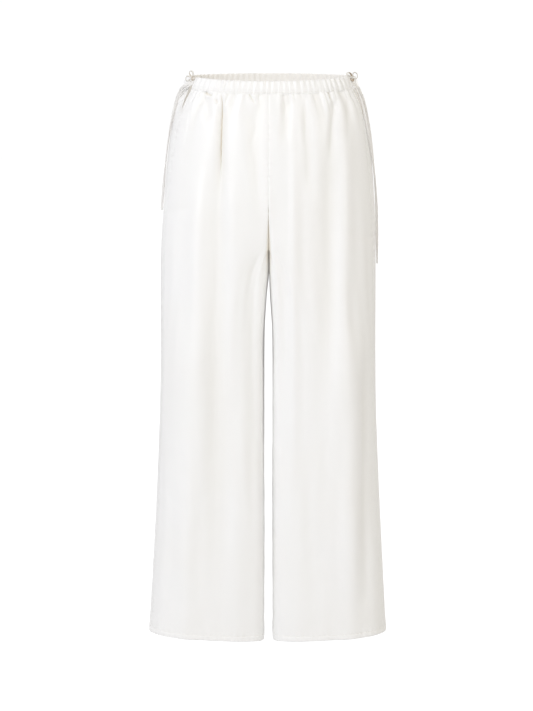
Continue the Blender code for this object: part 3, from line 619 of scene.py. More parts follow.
@dataclass(frozen=True)
class ClothRelief:
    """Heights of folds, gathers, creases, seams and hems over the plain form, in metres."""

    form: GarmentForm
    gather_height: float = 0.0015
    drape_height: float = 0.0008
    seam_groove: float = 0.0009
    seam_groove_width: float = 0.0016
    seam_calm: float = 0.020
    pucker_height: float = 0.0005
    pucker_pitch: float = 0.0135
    outer_pucker_reach: float = 0.011
    inner_pucker_reach: float = 0.008
    hem_lift: float = 0.0004
    hem_groove: float = 0.0005
    hem_pucker: float = 0.00032
    vent_hem_width: float = 0.006
    vent_end: float = 0.058
    vent_fade: float = 0.012
    vent_groove: float = 0.0004

    def folds(self, face: Face, x: Array, drop: Array) -> Array:
        """Sum of the long folds: each is a Gaussian across, eased in and out along its length.

        Args:
            face: Front or back.
            x: Distance from the middle plane.
            drop: Drops.

        Returns:
            Heights in metres.
        """
        height = np.zeros(np.broadcast(x, drop).shape)
        for x_top, x_bottom, drop_top, drop_bottom, rise, width in metres(FOLDS[face]):
            share = (drop - drop_top) / (drop_bottom - drop_top)
            place = x_top + (x_bottom - x_top) * np.clip(share, 0.0, 1.0)
            ends = smooth(share * 5.0) * smooth((1.0 - share) * 2.5)
            height = height + rise * ends * np.exp(-0.5 * ((x - place) / width) ** 2)
        return height

    def creases(self, face: Face, x: Array, drop: Array) -> Array:
        """Sum of the creases: height by the distance to a route of straight stretches.

        A soft crease falls off as a Gaussian of that distance, a sharp one as a rounded exponential.
        It fades over the last part of its route.

        Args:
            face: Front or back.
            x: Distance from the middle plane.
            drop: Drops.

        Returns:
            Heights in metres.
        """
        height = np.zeros(np.broadcast(x, drop).shape)
        for rise, width, shape, points in CREASES[face]:
            route = metres(points)
            lengths = running_length(route)
            nearest = np.full(height.shape, np.inf)
            place = np.zeros(height.shape)
            for start, end, before in zip(route[:-1], route[1:], lengths[:-1]):
                run = end - start
                size = float(np.hypot(*run))
                t = np.clip(((x - start[0]) * run[0] + (drop - start[1]) * run[1]) / size ** 2, 0.0, 1.0)
                gap = np.hypot(x - start[0] - t * run[0], drop - start[1] - t * run[1])
                closer = gap < nearest
                nearest = np.where(closer, gap, nearest)
                place = np.where(closer, (before + t * size) / lengths[-1], place)
            over = nearest / (width / 1000.0)
            soft = shape is CreaseShape.SOFT
            across = np.exp(-0.5 * over ** 2) if soft else np.exp(0.3 - np.sqrt(over ** 2 + 0.09))
            ends = smooth(place * 8.0 + 0.35) * smooth((1.0 - place) * 2.2)
            height = height + rise / 1000.0 * across * ends
        return height

    def gathers(self, side: Side, face: Face, shares: Array, drop: Array) -> Array:
        """Gathers below the casing: rounded ridges that die out over different lengths.

        The finest run on from the casing's own, |cos| of half the phase, and fade within 15 to 35 mm.
        Two coarser waves fade over 55 and 150 mm.

        Args:
            side: The wearer's side.
            face: Front or back.
            shares: Places of the columns.
            drop: Drops.

        Returns:
            Heights in metres.
        """
        share = self.form.casing_share(side, face, shares)[None, :]
        phase = self.form.gather_phase(face, share)
        below = drop - self.form.casing_height
        reach = 0.020 + 0.011 * wave(4.1 * share, 0.7)
        size = 0.60 + 0.40 * wave(5.3 * share, 0.2)
        fine = size * (2.0 * np.abs(np.cos(0.5 * phase)) ** 0.85 - 1.0) * bell(below, reach)
        medium = 0.85 * np.sin(phase / 2.3 + 1.3 + 0.9 * wave(2.1 * share)) * bell(below, 0.055)
        coarse = 0.8 * np.sin(phase / 4.7 + 0.4) * bell(below, 0.150)
        return self.gather_height * (fine + medium + coarse) * smooth(below / 0.004 + 0.3)

    def drape(self, face: Face, along: Array, drop: Array) -> Array:
        """Soft uneven waves of the hanging cloth: four sines across that wander down the leg.

        The length along runs from the side seam, so that the waves hang straight beside the crotch.

        Args:
            face: Front or back.
            along: Length along the row from the side seam.
            drop: Drops.

        Returns:
            Heights in metres.
        """
        shift = 0.9 if face is Face.FRONT else 2.6
        wide = 1.1 * wave(along / 0.083, shift + 0.9 * wave(drop / 1.1, shift))
        middle = 0.8 * wave(along / 0.049, 2 * shift + 1.3 * wave(drop / 0.74))
        narrow = 0.35 * wave(along / 0.027, 1.7 * wave(drop / 0.52, shift))
        narrow = narrow * (0.55 + 0.45 * wave(drop / 0.37, shift))
        ripple = 0.22 * wave(drop / 0.061, 2.2 * wave(along / 0.11)) * smooth(drop - 0.2)
        return self.drape_height * smooth((drop - 0.06) / 0.25) * (wide + middle + narrow + ripple)

    def seams(self, side: Side, face: Face, to_inner: Array, to_outer: Array, drop: Array) -> Array:
        """Seam grooves, Gaussian across, with small puckers beside them, and the vent's turned edge.

        Args:
            side: The wearer's side.
            face: Front or back.
            to_inner: Distance from the inner edge.
            to_outer: Distance from the side seam.
            drop: Drops.

        Returns:
            Heights in metres.
        """
        in_vent = 1.0 - smooth((drop - self.vent_end) / self.vent_fade)
        groove = bell(to_outer, self.seam_groove_width) * (1.0 - in_vent)
        groove = groove + 0.7 * bell(to_inner, self.seam_groove_width)
        pucker = wave(drop / self.pucker_pitch, 1.4 * wave(drop / 0.083) + 0.8 * wave(drop / 0.037, 1.0))
        amount = 0.35 + 0.65 * smooth(wave(drop / 0.31, side.value) * 0.6 + 0.4)
        if side is Side.RIGHT and face is Face.FRONT:
            amount = amount + 1.3 * smooth((drop - 0.72) / 0.08)
        outer = amount * bell(to_outer, self.outer_pucker_reach) * (1.0 - in_vent)
        inner = 0.6 * bell(to_inner, self.inner_pucker_reach) * smooth((drop - 0.03) / 0.05)
        turned = smooth((self.vent_hem_width - to_outer) / 0.0012 + 0.5) * in_vent
        line = bell(to_outer - self.vent_hem_width, 0.0009) * in_vent
        return (self.pucker_height * pucker * (outer + inner) - self.seam_groove * groove
                + self.hem_lift * turned - self.vent_groove * line)

    def hem(self, along: Array, drop: Array) -> Array:
        """The turned hem: a raised strip with a stitched groove over it and fine puckers.

        Args:
            along: Length along the row.
            drop: Drops.

        Returns:
            Heights in metres.
        """
        below = drop - self.form.outseam + self.form.hem_height
        pucker = wave(along / 0.0105, 1.6 * wave(along / 0.071)) * bell(below, 0.0065)
        return (self.hem_lift * smooth(below / 0.0016 + 0.5) - self.hem_groove * bell(below - 0.0008, 0.0012)
                + self.hem_pucker * pucker)


class Socket:
    """A shader value, so that shader maths is written as an expression."""

    def __init__(self, nodes: "NodeBuilder", socket: Any) -> None:
        """Keep the node tree's builder and the socket."""
        self.nodes = nodes
        self.socket = socket

    def _math(self, operation: str, *values: Any) -> "Socket":
        """Add a Math node of one operation."""
        return self.nodes.add("ShaderNodeMath", {"operation": operation}, dict(enumerate((self, *values))))

    def __add__(self, other: Any) -> "Socket":
        """Sum."""
        return self._math("ADD", other)

    def __sub__(self, other: Any) -> "Socket":
        """Difference."""
        return self._math("SUBTRACT", other)

    def __mul__(self, other: Any) -> "Socket":
        """Product."""
        return self._math("MULTIPLY", other)

    def sine(self) -> "Socket":
        """Sine of the value."""
        return self._math("SINE")

    def clamp(self) -> "Socket":
        """The value kept between 0 and 1."""
        return self.nodes.add("ShaderNodeClamp", {}, {"Value": self})


class NodeBuilder:
    """Makes the nodes of one material or of the world."""

    def __init__(self, owner: bpy.types.Material | bpy.types.World) -> None:
        """Turn the owner's nodes on and keep their tree."""
        self.owner = owner
        owner.use_nodes = True
        self.tree = owner.node_tree

    def add(self, kind: str, settings: dict[str, Any], values: dict[Any, Any], out: Any = 0) -> Socket:
        """Add a node.

        Args:
            kind: The node's type.
            settings: Its properties, set first.
            values: Numbers, colours or links for its inputs, by name or number.
            out: Name or number of the output to return.

        Returns:
            The output as a value.
        """
        node = self.tree.nodes.new(kind)
        for name, value in settings.items():
            setattr(node, name, value)
        for name, value in values.items():
            self.feed(node.inputs[name], value)
        return Socket(self, node.outputs[out])

    def feed(self, target: Any, value: Any) -> None:
        """Link a value to an input, or set it there; a colour gets its alpha.

        Args:
            target: The input.
            value: The value.
        """
        if isinstance(value, Socket):
            self.tree.links.new(value.socket, target)
        else:
            target.default_value = (*value, 1.0) if target.type == "RGBA" else value

    def fill(self, node: str, values: dict[str, Any]) -> Any:
        """Feed values to the named node's inputs, and return the owner.

        Args:
            node: The node's name.
            values: Numbers, colours or links by input name.

        Returns:
            The owner.
        """
        for name, value in values.items():
            self.feed(self.tree.nodes[node].inputs[name], value)
        return self.owner

    def mix(self, factor: Socket, first: Any, second: Any) -> Socket:
        """Mix two colours by a factor."""
        return self.add("ShaderNodeMix", {"data_type": "RGBA"}, {0: factor, 6: first, 7: second}, 2)

    def split(self, vector: Socket) -> list[Socket]:
        """X, Y and Z of a vector."""
        parts = self.add("ShaderNodeSeparateXYZ", {}, {"Vector": vector})
        return [Socket(self, out) for out in parts.socket.node.outputs]


@dataclass(frozen=True)
class SatinFinish:
    """Ivory satin seen from its shiny side, its matt back, or as a tie's folded band."""

    name: str
    light: Color = (0.918, 0.919, 0.920)
    soft: Color = (0.910, 0.904, 0.892)
    # Shade painted into folds: a warm trough colour, then a deep brown for the darkest creases.
    painted_trough_shade: Color = (0.866, 0.861, 0.826)
    painted_deep_shade: Color = (0.700, 0.600, 0.460)
    # Painted light: a faint warm glow of this colour, at the strength set below, lifts the cloth's shaded
    # inner sides and inside.
    glow: Color = (1.0, 0.975, 0.94)
    roughness: float = 0.40
    roughness_spread: float = 0.10
    specular: float = 0.45
    sheen: float = 0.12
    sheen_roughness: float = 0.4
    float_pitch: float = 0.00042
    painted_glow: float = 0.0
    weave_relief: float = 0.0000060
    slub_relief: float = 0.000060

    def build(self) -> bpy.types.Material:
        """Make the satin: warp floats, slub streaks, soft colour change and warm shade painted into folds.

        The painted fold shade turns the colour to the trough shade first, and its square to the deep shade.

        Returns:
            The material.
        """
        nodes = NodeBuilder(bpy.data.materials.new(self.name))
        uv = nodes.add("ShaderNodeUVMap", {"uv_map": "cloth"}, {})
        across, down, _ = nodes.split(uv)
        stretched = nodes.add("ShaderNodeMapping", {}, {"Vector": uv, "Scale": (520.0, 9.0, 1.0)})
        slub = nodes.add("ShaderNodeTexNoise", {"noise_dimensions": "2D"},
                         {"Vector": stretched, "Scale": 1.0, "Detail": 3.0, "Roughness": 0.6})
        spot = nodes.add("ShaderNodeTexCoord", {}, {}, "Object")
        cloud = nodes.add("ShaderNodeTexNoise", {}, {"Vector": spot, "Scale": 6.0, "Detail": 2.0})
        turn = TURN / self.float_pitch
        floats = (across * turn).sine() * (down * (turn / 5.0) + across * (turn * 0.4)).sine()
        # The mesh attribute read here holds shade painted into folds, creases, gathers, vent edges and the
        # ties' hollows.
        depth = nodes.add("ShaderNodeAttribute", {"attribute_name": "painted_fold_shade"}, {}, "Fac")
        color = nodes.mix((cloud * 1.6 - 0.3).clamp(), self.light, self.soft)
        color = nodes.mix((depth * 2.5).clamp(), color, self.painted_trough_shade)
        color = nodes.mix((depth * depth).clamp(), color, self.painted_deep_shade)
        rough = (slub - 0.5) * self.roughness_spread + (cloud - 0.5) * 0.08 + self.roughness
        relief = floats * self.weave_relief + slub * self.slub_relief
        bump = nodes.add("ShaderNodeBump", {}, {"Height": relief, "Distance": 1.0, "Strength": 1.0}, "Normal")
        nodes.owner.diffuse_color = (*self.light, 1.0)
        return nodes.fill("Principled BSDF", {
            "Base Color": color, "Roughness": rough, "Normal": bump, "Specular IOR Level": self.specular,
            "Sheen Weight": self.sheen, "Sheen Roughness": self.sheen_roughness,
            "Emission Color": self.glow, "Emission Strength": self.painted_glow})


@dataclass(frozen=True)
class ThreadFinish:
    """Spun polyester sewing thread with its twist."""

    name: str = "ivory_thread"
    color: Color = (0.90, 0.875, 0.835)
    shade: Color = (0.80, 0.765, 0.71)
    roughness: float = 0.5
    roughness_spread: float = 0.06
    twist_pitch: float = 0.0006
    twist_relief: float = 0.00002

    def build(self) -> bpy.types.Material:
        """Make the thread: stripes along its twist in colour and relief.

        Returns:
            The material.
        """
        nodes = NodeBuilder(bpy.data.materials.new(self.name))
        along, around, _ = nodes.split(nodes.add("ShaderNodeUVMap", {"uv_map": "cloth"}, {}))
        twist = (along * (TURN / self.twist_pitch) + around * TURN).sine()
        relief = twist * self.twist_relief
        return nodes.fill("Principled BSDF", {
            "Base Color": nodes.mix((twist * 0.5 + 0.5).clamp(), self.color, self.shade),
            "Roughness": twist * self.roughness_spread + self.roughness,
            "Normal": nodes.add("ShaderNodeBump", {}, {"Height": relief, "Distance": 1.0}, "Normal")})


@dataclass(frozen=True)
class FloorFinish:
    """Plain pale studio floor, as white as the surrounding light where it is seen."""

    name: str = "pale_floor"
    color: Color = (0.62, 0.62, 0.62)
    mottle: Color = (0.66, 0.66, 0.66)
    roughness: float = 0.9
    glow: float = 1.15
    seen_share: float = 0.97

    def build(self) -> bpy.types.Material:
        """Make the floor's matt paint with a faint mottle, under a white glow for the eye alone.

        Returns:
            The material.
        """
        nodes = NodeBuilder(bpy.data.materials.new(self.name))
        spot = nodes.add("ShaderNodeTexCoord", {}, {}, "Object")
        noise = nodes.add("ShaderNodeTexNoise", {}, {"Vector": spot, "Scale": 3.0, "Detail": 2.0})
        color = nodes.mix(noise, self.color, self.mottle)
        nodes.fill("Principled BSDF", {"Base Color": color, "Roughness": self.roughness})
        glow = nodes.add("ShaderNodeEmission", {}, {"Strength": self.glow})
        seen = nodes.add("ShaderNodeLightPath", {}, {}, "Is Camera Ray") * self.seen_share
        paint = Socket(nodes, nodes.tree.nodes["Principled BSDF"].outputs[0])
        mixed = nodes.add("ShaderNodeMixShader", {}, {0: seen, 1: paint, 2: glow})
        return nodes.fill("Material Output", {"Surface": mixed})


@dataclass
class MeshPart:
    """Points, faces and UVs of a piece before it becomes an object."""

    points: Array
    faces: list[list[int]]
    uvs: Array
    # Shade painted into the colour, from 0 to 1 and over, stored as a mesh attribute.
    depth: Array | None = None

    def make(self, name: str, materials: Sequence[bpy.types.Material]) -> bpy.types.Object:
        """Put the arrays into a mesh object.

        Args:
            name: The piece's name.
            materials: Its material slots.

        Returns:
            The object, at the origin.
        """
        mesh = bpy.data.meshes.new(name)
        mesh.from_pydata(self.points.tolist(), [], self.faces)
        layer = mesh.uv_layers.new(name="cloth")
        corner = np.empty(len(mesh.loops), dtype=np.int32)
        mesh.loops.foreach_get("vertex_index", corner)
        layer.data.foreach_set("uv", self.uvs[corner].astype(np.float32).ravel())
        if self.depth is not None:
            attribute = mesh.attributes.new("painted_fold_shade", "FLOAT", "POINT")
            attribute.data.foreach_set("value", self.depth.astype(np.float32).ravel())
        mesh.shade_smooth()
        mesh.update()
        for material in materials:
            mesh.materials.append(material)
        piece = bpy.data.objects.new(name, mesh)
        bpy.context.scene.collection.objects.link(piece)
        return piece


def grid_faces(rows: int, columns: int, wrap: bool = False) -> Array:
    """Quads of a grid of points, row by row; wrap joins the last column to the first.

    Args:
        rows: Rows of points.
        columns: Points in a row.
        wrap: Whether the rows are closed.

    Returns:
        The quads' corners.
    """
    row = np.arange(rows - 1)[:, None] * columns
    here = np.arange(columns if wrap else columns - 1)[None, :]
    beside = (here + 1) % columns
    quads = np.stack((row + here, row + columns + here, row + columns + beside, row + beside), axis=-1)
    return quads.reshape(-1, 4)


def outward_step(points: Array, quads: Array, outward: Array) -> int:
    """1 if the quads' normals agree with their first corners' outward directions, and -1 if not.

    Args:
        points: The points.
        quads: The quads.
        outward: Directions outward at the points.

    Returns:
        The step through the corners that turns them outward.
    """
    corner = points[quads[:, :3]]
    turned = np.cross(corner[:, 1] - corner[:, 0], corner[:, 2] - corner[:, 0])
    return -1 if np.sum(turned * outward[quads[:, 0]]) < 0.0 else 1


def grid_uvs(u: Array, v: Array) -> Array:
    """UVs of a grid's points from two arrays that broadcast to its shape."""
    return np.stack(np.broadcast_arrays(u, v), axis=-1).reshape(-1, 2)


def ring_angles(sides: int) -> Array:
    """Even angles once round."""
    return np.arange(sides) * TURN / sides


def tube(rings: Array, centres: Array) -> tuple[Array, list[list[int]]]:
    """A tube through rings of points, closed at both ends.

    Args:
        rings: Points as rings x sides x 3.
        centres: The rings' centres.

    Returns:
        The points in one list, and the faces, which face outward.
    """
    count, sides = rings.shape[:2]
    points = rings.reshape(-1, 3)
    quads = grid_faces(count, sides, wrap=True)
    ends = np.array((np.arange(sides), np.arange(sides)[::-1] + (count - 1) * sides))
    step = outward_step(points, quads, (rings - centres[:, None, :]).reshape(-1, 3))
    return points, quads[:, ::step].tolist() + ends[:, ::step].tolist()


def place(piece: bpy.types.Object, slot: str, *nodes: str) -> bpy.types.Object:
    """Ride a piece on the garment and let it stand for nodes.

    Args:
        piece: The piece.
        slot: Its slot; not used.
        nodes: The nodes it stands for.

    Returns:
        The piece.
    """
    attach(piece, BODY)
    if nodes:
        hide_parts(*nodes)
    return piece


@dataclass
class StitchRow:
    """A row of lockstitches along a line on the cloth."""

    name: str
    line: Array
    normals: Array
    finish: bpy.types.Material
    stitch_length: float = 0.0023
    gap: float = 0.0005
    thread_radius: float = 0.00019
    rise: float = 0.00014
    sides: int = 6
    ring_places: tuple[float, ...] = (-1.0, -0.72, 0.0, 0.72, 1.0)
    end_share: float = 0.06

    def build(self) -> bpy.types.Object:
        """Build all stitches as one mesh.

        A stitch is a tube through five rings whose centres follow a flat arch over the cloth: height
        rise times 1 - t squared, radius the thread's times a rounded end.

        Returns:
            The piece.
        """
        lengths = running_length(self.line)
        pitch = self.stitch_length + self.gap
        count = max(int(lengths[-1] // pitch), 1)
        starts = (lengths[-1] - count * pitch) / 2 + np.arange(count) * pitch
        t = np.array(self.ring_places)
        at = (starts[:, None] + 0.5 * self.stitch_length * (1.0 + t)[None, :]).ravel()
        centre = pick(self.line, lengths, at).reshape(count, len(t), 3)
        up = unit(pick(self.normals, lengths, at)).reshape(count, len(t), 3)
        beside = unit(np.cross(unit(np.gradient(centre, axis=1)), up))
        centre = centre + up * (self.rise * (1.0 - t ** 2))[None, :, None]
        radius = self.thread_radius * np.sqrt(np.clip(1.0 + self.end_share - t ** 2, 0.0, 1.0))
        angle = ring_angles(self.sides)[:, None]
        ring = np.cos(angle) * beside[:, :, None, :] + np.sin(angle) * up[:, :, None, :]
        points = centre[:, :, None, :] + radius[None, :, None, None] * ring
        cap = np.array([[0, 1, 2, 3], [0, 3, 4, 5]])
        caps = np.concatenate((cap, cap[:, ::-1] + (len(t) - 1) * self.sides))
        base = (np.arange(count) * len(t) * self.sides)[:, None, None]
        faces = np.concatenate([(part[None, :, :] + base).reshape(-1, 4)
                                for part in (grid_faces(len(t), self.sides, wrap=True), caps)])
        uvs = grid_uvs(at.reshape(count, len(t), 1), np.arange(self.sides) / self.sides)
        part = MeshPart(points.reshape(-1, 3), faces[:, ::-1].tolist(), uvs)
        return place(part.make(self.name, [self.finish]), SATIN_SLOT)


@dataclass(frozen=True)
class FoldShade:
    """How deep in a fold the cloth lies, from 0 to 1 and over, which sets the warm shade painted into the
    satin there.
    """

    crease_share: float = 0.75
    crease_start: float = 0.0014
    crease_reach: float = 0.0036
    gather_share: float = 0.14
    gather_reach: float = 0.0018
    fold_share: float = 0.15
    fold_reach: float = 0.006
    vent_shares: dict[Side, float] = field(default_factory=lambda: {Side.LEFT: 0.8, Side.RIGHT: 0.2})
    vent_reach: float = 0.0028
    vent_fade: float = 0.02
    inward_share: float = 0.6
    inward_start: float = 0.72
    inward_reach: float = 0.2
    crotch_start: float = 0.225
    crotch_gain: float = 0.04
    crotch_end: float = 0.40
    crotch_fade: float = 0.10

    def depth(self, creases: Array, gathers: Array, folds: Array) -> Array:
        """Painted shade by the heights of the creases, the gathers and the folds.

        Args:
            creases: Heights of the creases.
            gathers: Heights of the gathers.
            folds: Heights of the folds.

        Returns:
            The painted shade at each point.
        """
        depth = self.crease_share * np.clip((-creases - self.crease_start) / self.crease_reach, 0.0, 1.0)
        depth = depth + self.gather_share * np.clip(-gathers / self.gather_reach, 0.0, 1.0)
        return depth + self.fold_share * np.clip(-folds / self.fold_reach, 0.0, 1.0)

    def edges(self, side: Side, vent_end: float, inward: Array, to_outer: Array, drop: Array) -> Array:
        """Painted shade beside the vent and where the legs' inner sides face each other below the crotch.

        Args:
            side: The wearer's side.
            vent_end: Drop at which the vent closes.
            inward: How far the normals point to the other leg.
            to_outer: Distance from the side seam.
            drop: The rows' drops.

        Returns:
            The painted shade at each point.
        """
        above = 1.0 - smooth((drop - vent_end) / self.vent_fade)
        vent = self.vent_shares[side] * bell(to_outer, self.vent_reach) * above
        near = smooth((drop - self.crotch_start) / self.crotch_gain)
        near = near * (1.0 - smooth((drop - self.crotch_end) / self.crotch_fade))
        return vent + self.inward_share * smooth((inward - self.inward_start) / self.inward_reach) * near


@dataclass
class LegPanel:
    """One of the four leg panels, with its folds, gathers, seam edges and turned hem."""

    form: GarmentForm
    relief: ClothRelief
    side: Side
    face: Face
    finish: bpy.types.Material
    back_finish: bpy.types.Material
    cut_width: float
    cut_length: float
    cut_area: float
    shade: FoldShade = field(default_factory=FoldShade)
    thickness: float = 0.0007
    tuck: float = 0.0012
    tuck_depth: float = 0.0006
    columns: int = 128
    edge_columns: int = 7
    edge_share: float = 0.020
    hem_stitch_drop: float = 0.0008
    vent_stitch_start: float = 0.002
    vent_stitch_end: float = 0.066
    rows: tuple[tuple[float, int], ...] = (
        (0.070, 34), (0.130, 30), (0.215, 34), (0.355, 54), (0.700, 66), (1.0300, 66), (1.0332, 4),
        (1.0388, 9), (1.045, 5))
    drops: Array = field(init=False)
    grid: Array = field(init=False)
    normals: Array = field(init=False)

    @property
    def tag(self) -> str:
        """The panel's face and side, as in the names of nodes."""
        return f"{self.face.value}_{self.side.word}"

    def row_drops(self) -> Array:
        """Drops of the rows, closest together at the casing, the crotch and the hem.

        Returns:
            The drops.
        """
        drops = [self.form.casing_height - self.tuck]
        for end, rows in self.rows:
            drops.extend(np.linspace(drops[-1], end, rows + 1)[1:])
        return np.array(drops)

    def column_shares(self) -> Array:
        """Places of the columns, closest together at the two seams.

        Returns:
            The shares.
        """
        edge = np.linspace(0.0, self.edge_share, self.edge_columns)
        inside = np.linspace(self.edge_share, 1.0 - self.edge_share, self.columns)
        return np.concatenate((edge[:-1], inside, (1.0 - edge[::-1])[1:]))

    def build(self) -> bpy.types.Object:
        """Build the panel.

        The plain surface is moved along its normals by the sum of the relief's heights; folds and
        gathers are calmed towards the two seams. Solidify gives the cloth its wall.

        Returns:
            The piece.
        """
        self.drops = self.row_drops()
        shares = self.column_shares()
        base = self.form.panel_base(self.side, self.face, self.drops, shares)
        outward = (base - np.array([base[:, :, 0].mean(), 0.0, 0.0])) * (1.0, 1.0, 0.0)
        normals = grid_normals(base, outward)
        drop, x = self.drops[:, None], base[:, :, 0]
        along = running_length(base)
        to_outer = along[:, -1:] - along
        relief = self.relief
        creases = relief.creases(self.face, x, drop)
        gathers = relief.gathers(self.side, self.face, shares, drop)
        folds = relief.folds(self.face, x, drop)
        calm = smooth(np.minimum(along, to_outer) / relief.seam_calm)
        height = calm * (folds + relief.drape(self.face, to_outer, drop) + gathers) + creases
        height = height + relief.seams(self.side, self.face, along, to_outer, drop) + relief.hem(along, drop)
        tucked = 1.0 - smooth((drop - self.form.casing_height + self.tuck) / (2 * self.tuck))
        height = height - self.tuck_depth * tucked
        self.grid = base + normals * height[:, :, None]
        self.normals = grid_normals(self.grid, outward)
        # Warm shade painted into creases, gathers and folds, beside the vent and on the legs' facing inner
        # sides.
        inward = -self.side.value * normals[:, :, 0]
        depth = self.shade.depth(creases, gathers, folds)
        depth = depth + self.shade.edges(self.side, relief.vent_end, inward, to_outer, drop)

        points = self.grid.reshape(-1, 3)
        quads = grid_faces(*self.grid.shape[:2])
        quads = quads[:, ::outward_step(points, quads, outward.reshape(-1, 3))]
        part = MeshPart(points, quads.tolist(), grid_uvs(along, drop), depth)
        piece = part.make(f"satin_{self.tag}", [self.finish, self.back_finish])
        wall = piece.modifiers.new("wall", "SOLIDIFY")
        wall.thickness = self.thickness
        wall.offset = 0.0
        wall.use_even_offset = True
        wall.material_offset = 1
        return place(piece, SATIN_SLOT, self.tag)

    def declare(self, piece: bpy.types.Object, stitches: Sequence[bpy.types.Object]) -> None:
        """Take the panel's piece and stitching, and do nothing with them.

        Args:
            piece: The piece; not used.
            stitches: The stitching on it; not used.
        """

    def hem_line(self) -> tuple[Array, Array]:
        """Line and normals of the hem's stitching, from the inseam to the side seam.

        Returns:
            The line's points and their normals.
        """
        drop = self.form.outseam - self.form.hem_height + self.hem_stitch_drop
        row = int(np.argmin(np.abs(self.drops - drop)))
        return self.grid[row] + 0.5 * self.thickness * self.normals[row], self.normals[row]

    def vent_line(self) -> tuple[Array, Array]:
        """Line and normals of the stitching beside the vent, from the casing to the vent's foot.

        Returns:
            The line's points and their normals.
        """
        start = self.form.casing_height + self.vent_stitch_start
        rows = np.flatnonzero((self.drops > start) & (self.drops < self.vent_stitch_end))
        both = np.concatenate((self.grid, self.normals), axis=2)[rows]
        along = running_length(self.grid)[rows]
        places = np.array([pick(row, lengths, lengths[-1:] - self.relief.vent_hem_width)[0]
                           for row, lengths in zip(both, along)])
        normals = unit(places[:, 3:])
        return places[:, :3] + 0.5 * self.thickness * normals, normals


@dataclass
class Casing:
    """A gathered casing: the cloth folded over its elastic and stitched along its lower edge."""

    form: GarmentForm
    face: Face
    finish: bpy.types.Material
    back_finish: bpy.types.Material
    cut_height: float
    cut_length: float
    half_thickness: float = 0.00125
    bulge: float = 0.0009
    overlap: float = 0.0004
    gather_depth: float = 0.0011
    columns_per_gather: int = 12
    height_rows: int = 15
    stitch_place: float = 0.86
    stitch_reach: float = 0.07
    stitch_depth: float = 0.0005
    shade: float = 0.55
    outer: Array = field(init=False)
    outer_normals: Array = field(init=False)

    @property
    def heights(self) -> Array:
        """Shares of the casing's height for the rows, closest together at both edges."""
        return 0.5 - 0.5 * np.cos(np.linspace(0.0, math.pi, self.height_rows))

    def wave(self, share: Array, down: Array) -> Array:
        """The gathers, rounded ridges 2|cos| - 1 high with finer ones between, calm at both ends.

        Args:
            share: Share of the casing's length.
            down: Share of the casing's height.

        Returns:
            Heights in gather depths.
        """
        lean = 0.5 * wave(6.1 * share, 0.4) * (down - 0.5)
        phase = self.form.gather_phase(self.face, share) + lean
        size = 0.85 + 0.30 * wave(4.7 * share, 1.1) + 0.18 * wave(11.3 * share)
        ridge = size * (2.0 * np.abs(np.cos(0.5 * phase)) ** 0.8 - 1.0)
        fine = 0.20 * np.sin(2.0 * phase + 3.0 * down + 0.7) + 0.12 * np.sin(3.0 * phase - 2.0 * down)
        calm = smooth(share * 40.0) * smooth((1.0 - share) * 40.0)
        return calm * (ridge * (0.85 + 0.25 * np.cos(math.pi * down)) + fine)

    def build(self) -> bpy.types.Object:
        """Build the casing as one closed wall.

        The middle surface follows the waist's ring and is rippled by the gathers; the outer and the
        inner wall lie half a thickness off it, which eases to nothing at the top and the foot.

        Returns:
            The piece.
        """
        count = self.form.gather_count(self.face) * self.columns_per_gather
        share = np.linspace(0.0, 1.0, count + 1)
        rows = []
        for drop in self.heights * (self.form.casing_height + self.overlap):
            line = self.form.waist_line(self.face, float(drop))
            lengths = running_length(line)
            rows.append(pick(line, lengths, share * lengths[-1]))
        grid = np.array(rows)
        outward = grid * (1.0, 1.0, 0.0)
        normals = grid_normals(grid, outward)
        down = self.heights[:, None]
        ripple = self.wave(share[None, :], down)
        pinch = bell(down - self.stitch_place, self.stitch_reach)
        middle = self.bulge * np.sin(math.pi * down) + self.gather_depth * ripple - self.stitch_depth * pinch
        thick = self.half_thickness * np.sqrt(np.clip(1.0 - (2.0 * down - 1.0) ** 6, 0.0, 1.0))
        thick = thick * (1.0 - 0.35 * pinch)
        self.outer = grid + normals * (middle + thick)[:, :, None]
        self.outer_normals = grid_normals(self.outer, outward)
        inner = grid + normals * (middle - thick)[:, :, None]

        ring = np.concatenate((self.outer, inner[1:-1][::-1]))
        around, columns = ring.shape[:2]
        points = ring.reshape(-1, 3)
        walls = grid_faces(around + 1, columns) % len(points)
        levels = np.arange(self.height_rows)
        behind = -levels % around
        end = np.stack((levels[:-1], levels[1:], behind[1:], behind[:-1]), axis=-1) * columns
        quads = np.concatenate((walls, end[:, ::-1], end + columns - 1))
        outer_count = (self.height_rows - 1) * (columns - 1)
        quads = quads[:, ::outward_step(points, walls[:outer_count], outward.reshape(-1, 3))]
        faces = [list(dict.fromkeys(quad)) for quad in quads.tolist()]
        height = np.concatenate((self.heights, 2.0 - self.heights[1:-1][::-1])) * self.form.casing_height
        # Shade painted into the hollows between the gathers, darker the deeper the hollow.
        depth = self.shade * np.clip(-ripple / 1.1, 0.0, 1.0) ** 2
        depth = np.concatenate((depth, depth[1:-1][::-1]))
        part = MeshPart(points, faces, grid_uvs(running_length(ring), height[:, None]), depth)
        piece = part.make(f"casing_{self.face.value}", [self.finish, self.back_finish])
        slots = np.ones(len(faces), dtype=np.int32)
        slots[:outer_count] = 0
        piece.data.polygons.foreach_set("material_index", slots)
        return place(piece, SATIN_SLOT, f"waistband_{self.face.value}")

    def declare(self, piece: bpy.types.Object, stitches: Sequence[bpy.types.Object]) -> None:
        """Take the casing's piece and stitching, and do nothing with them.

        Args:
            piece: The piece; not used.
            stitches: The stitching on it; not used.
        """

    def stitch_line(self) -> tuple[Array, Array]:
        """Line and normals of the stitching along the casing's lower edge."""
        row = int(np.argmin(np.abs(self.heights - self.stitch_place)))
        return self.outer[row], self.outer_normals[row]


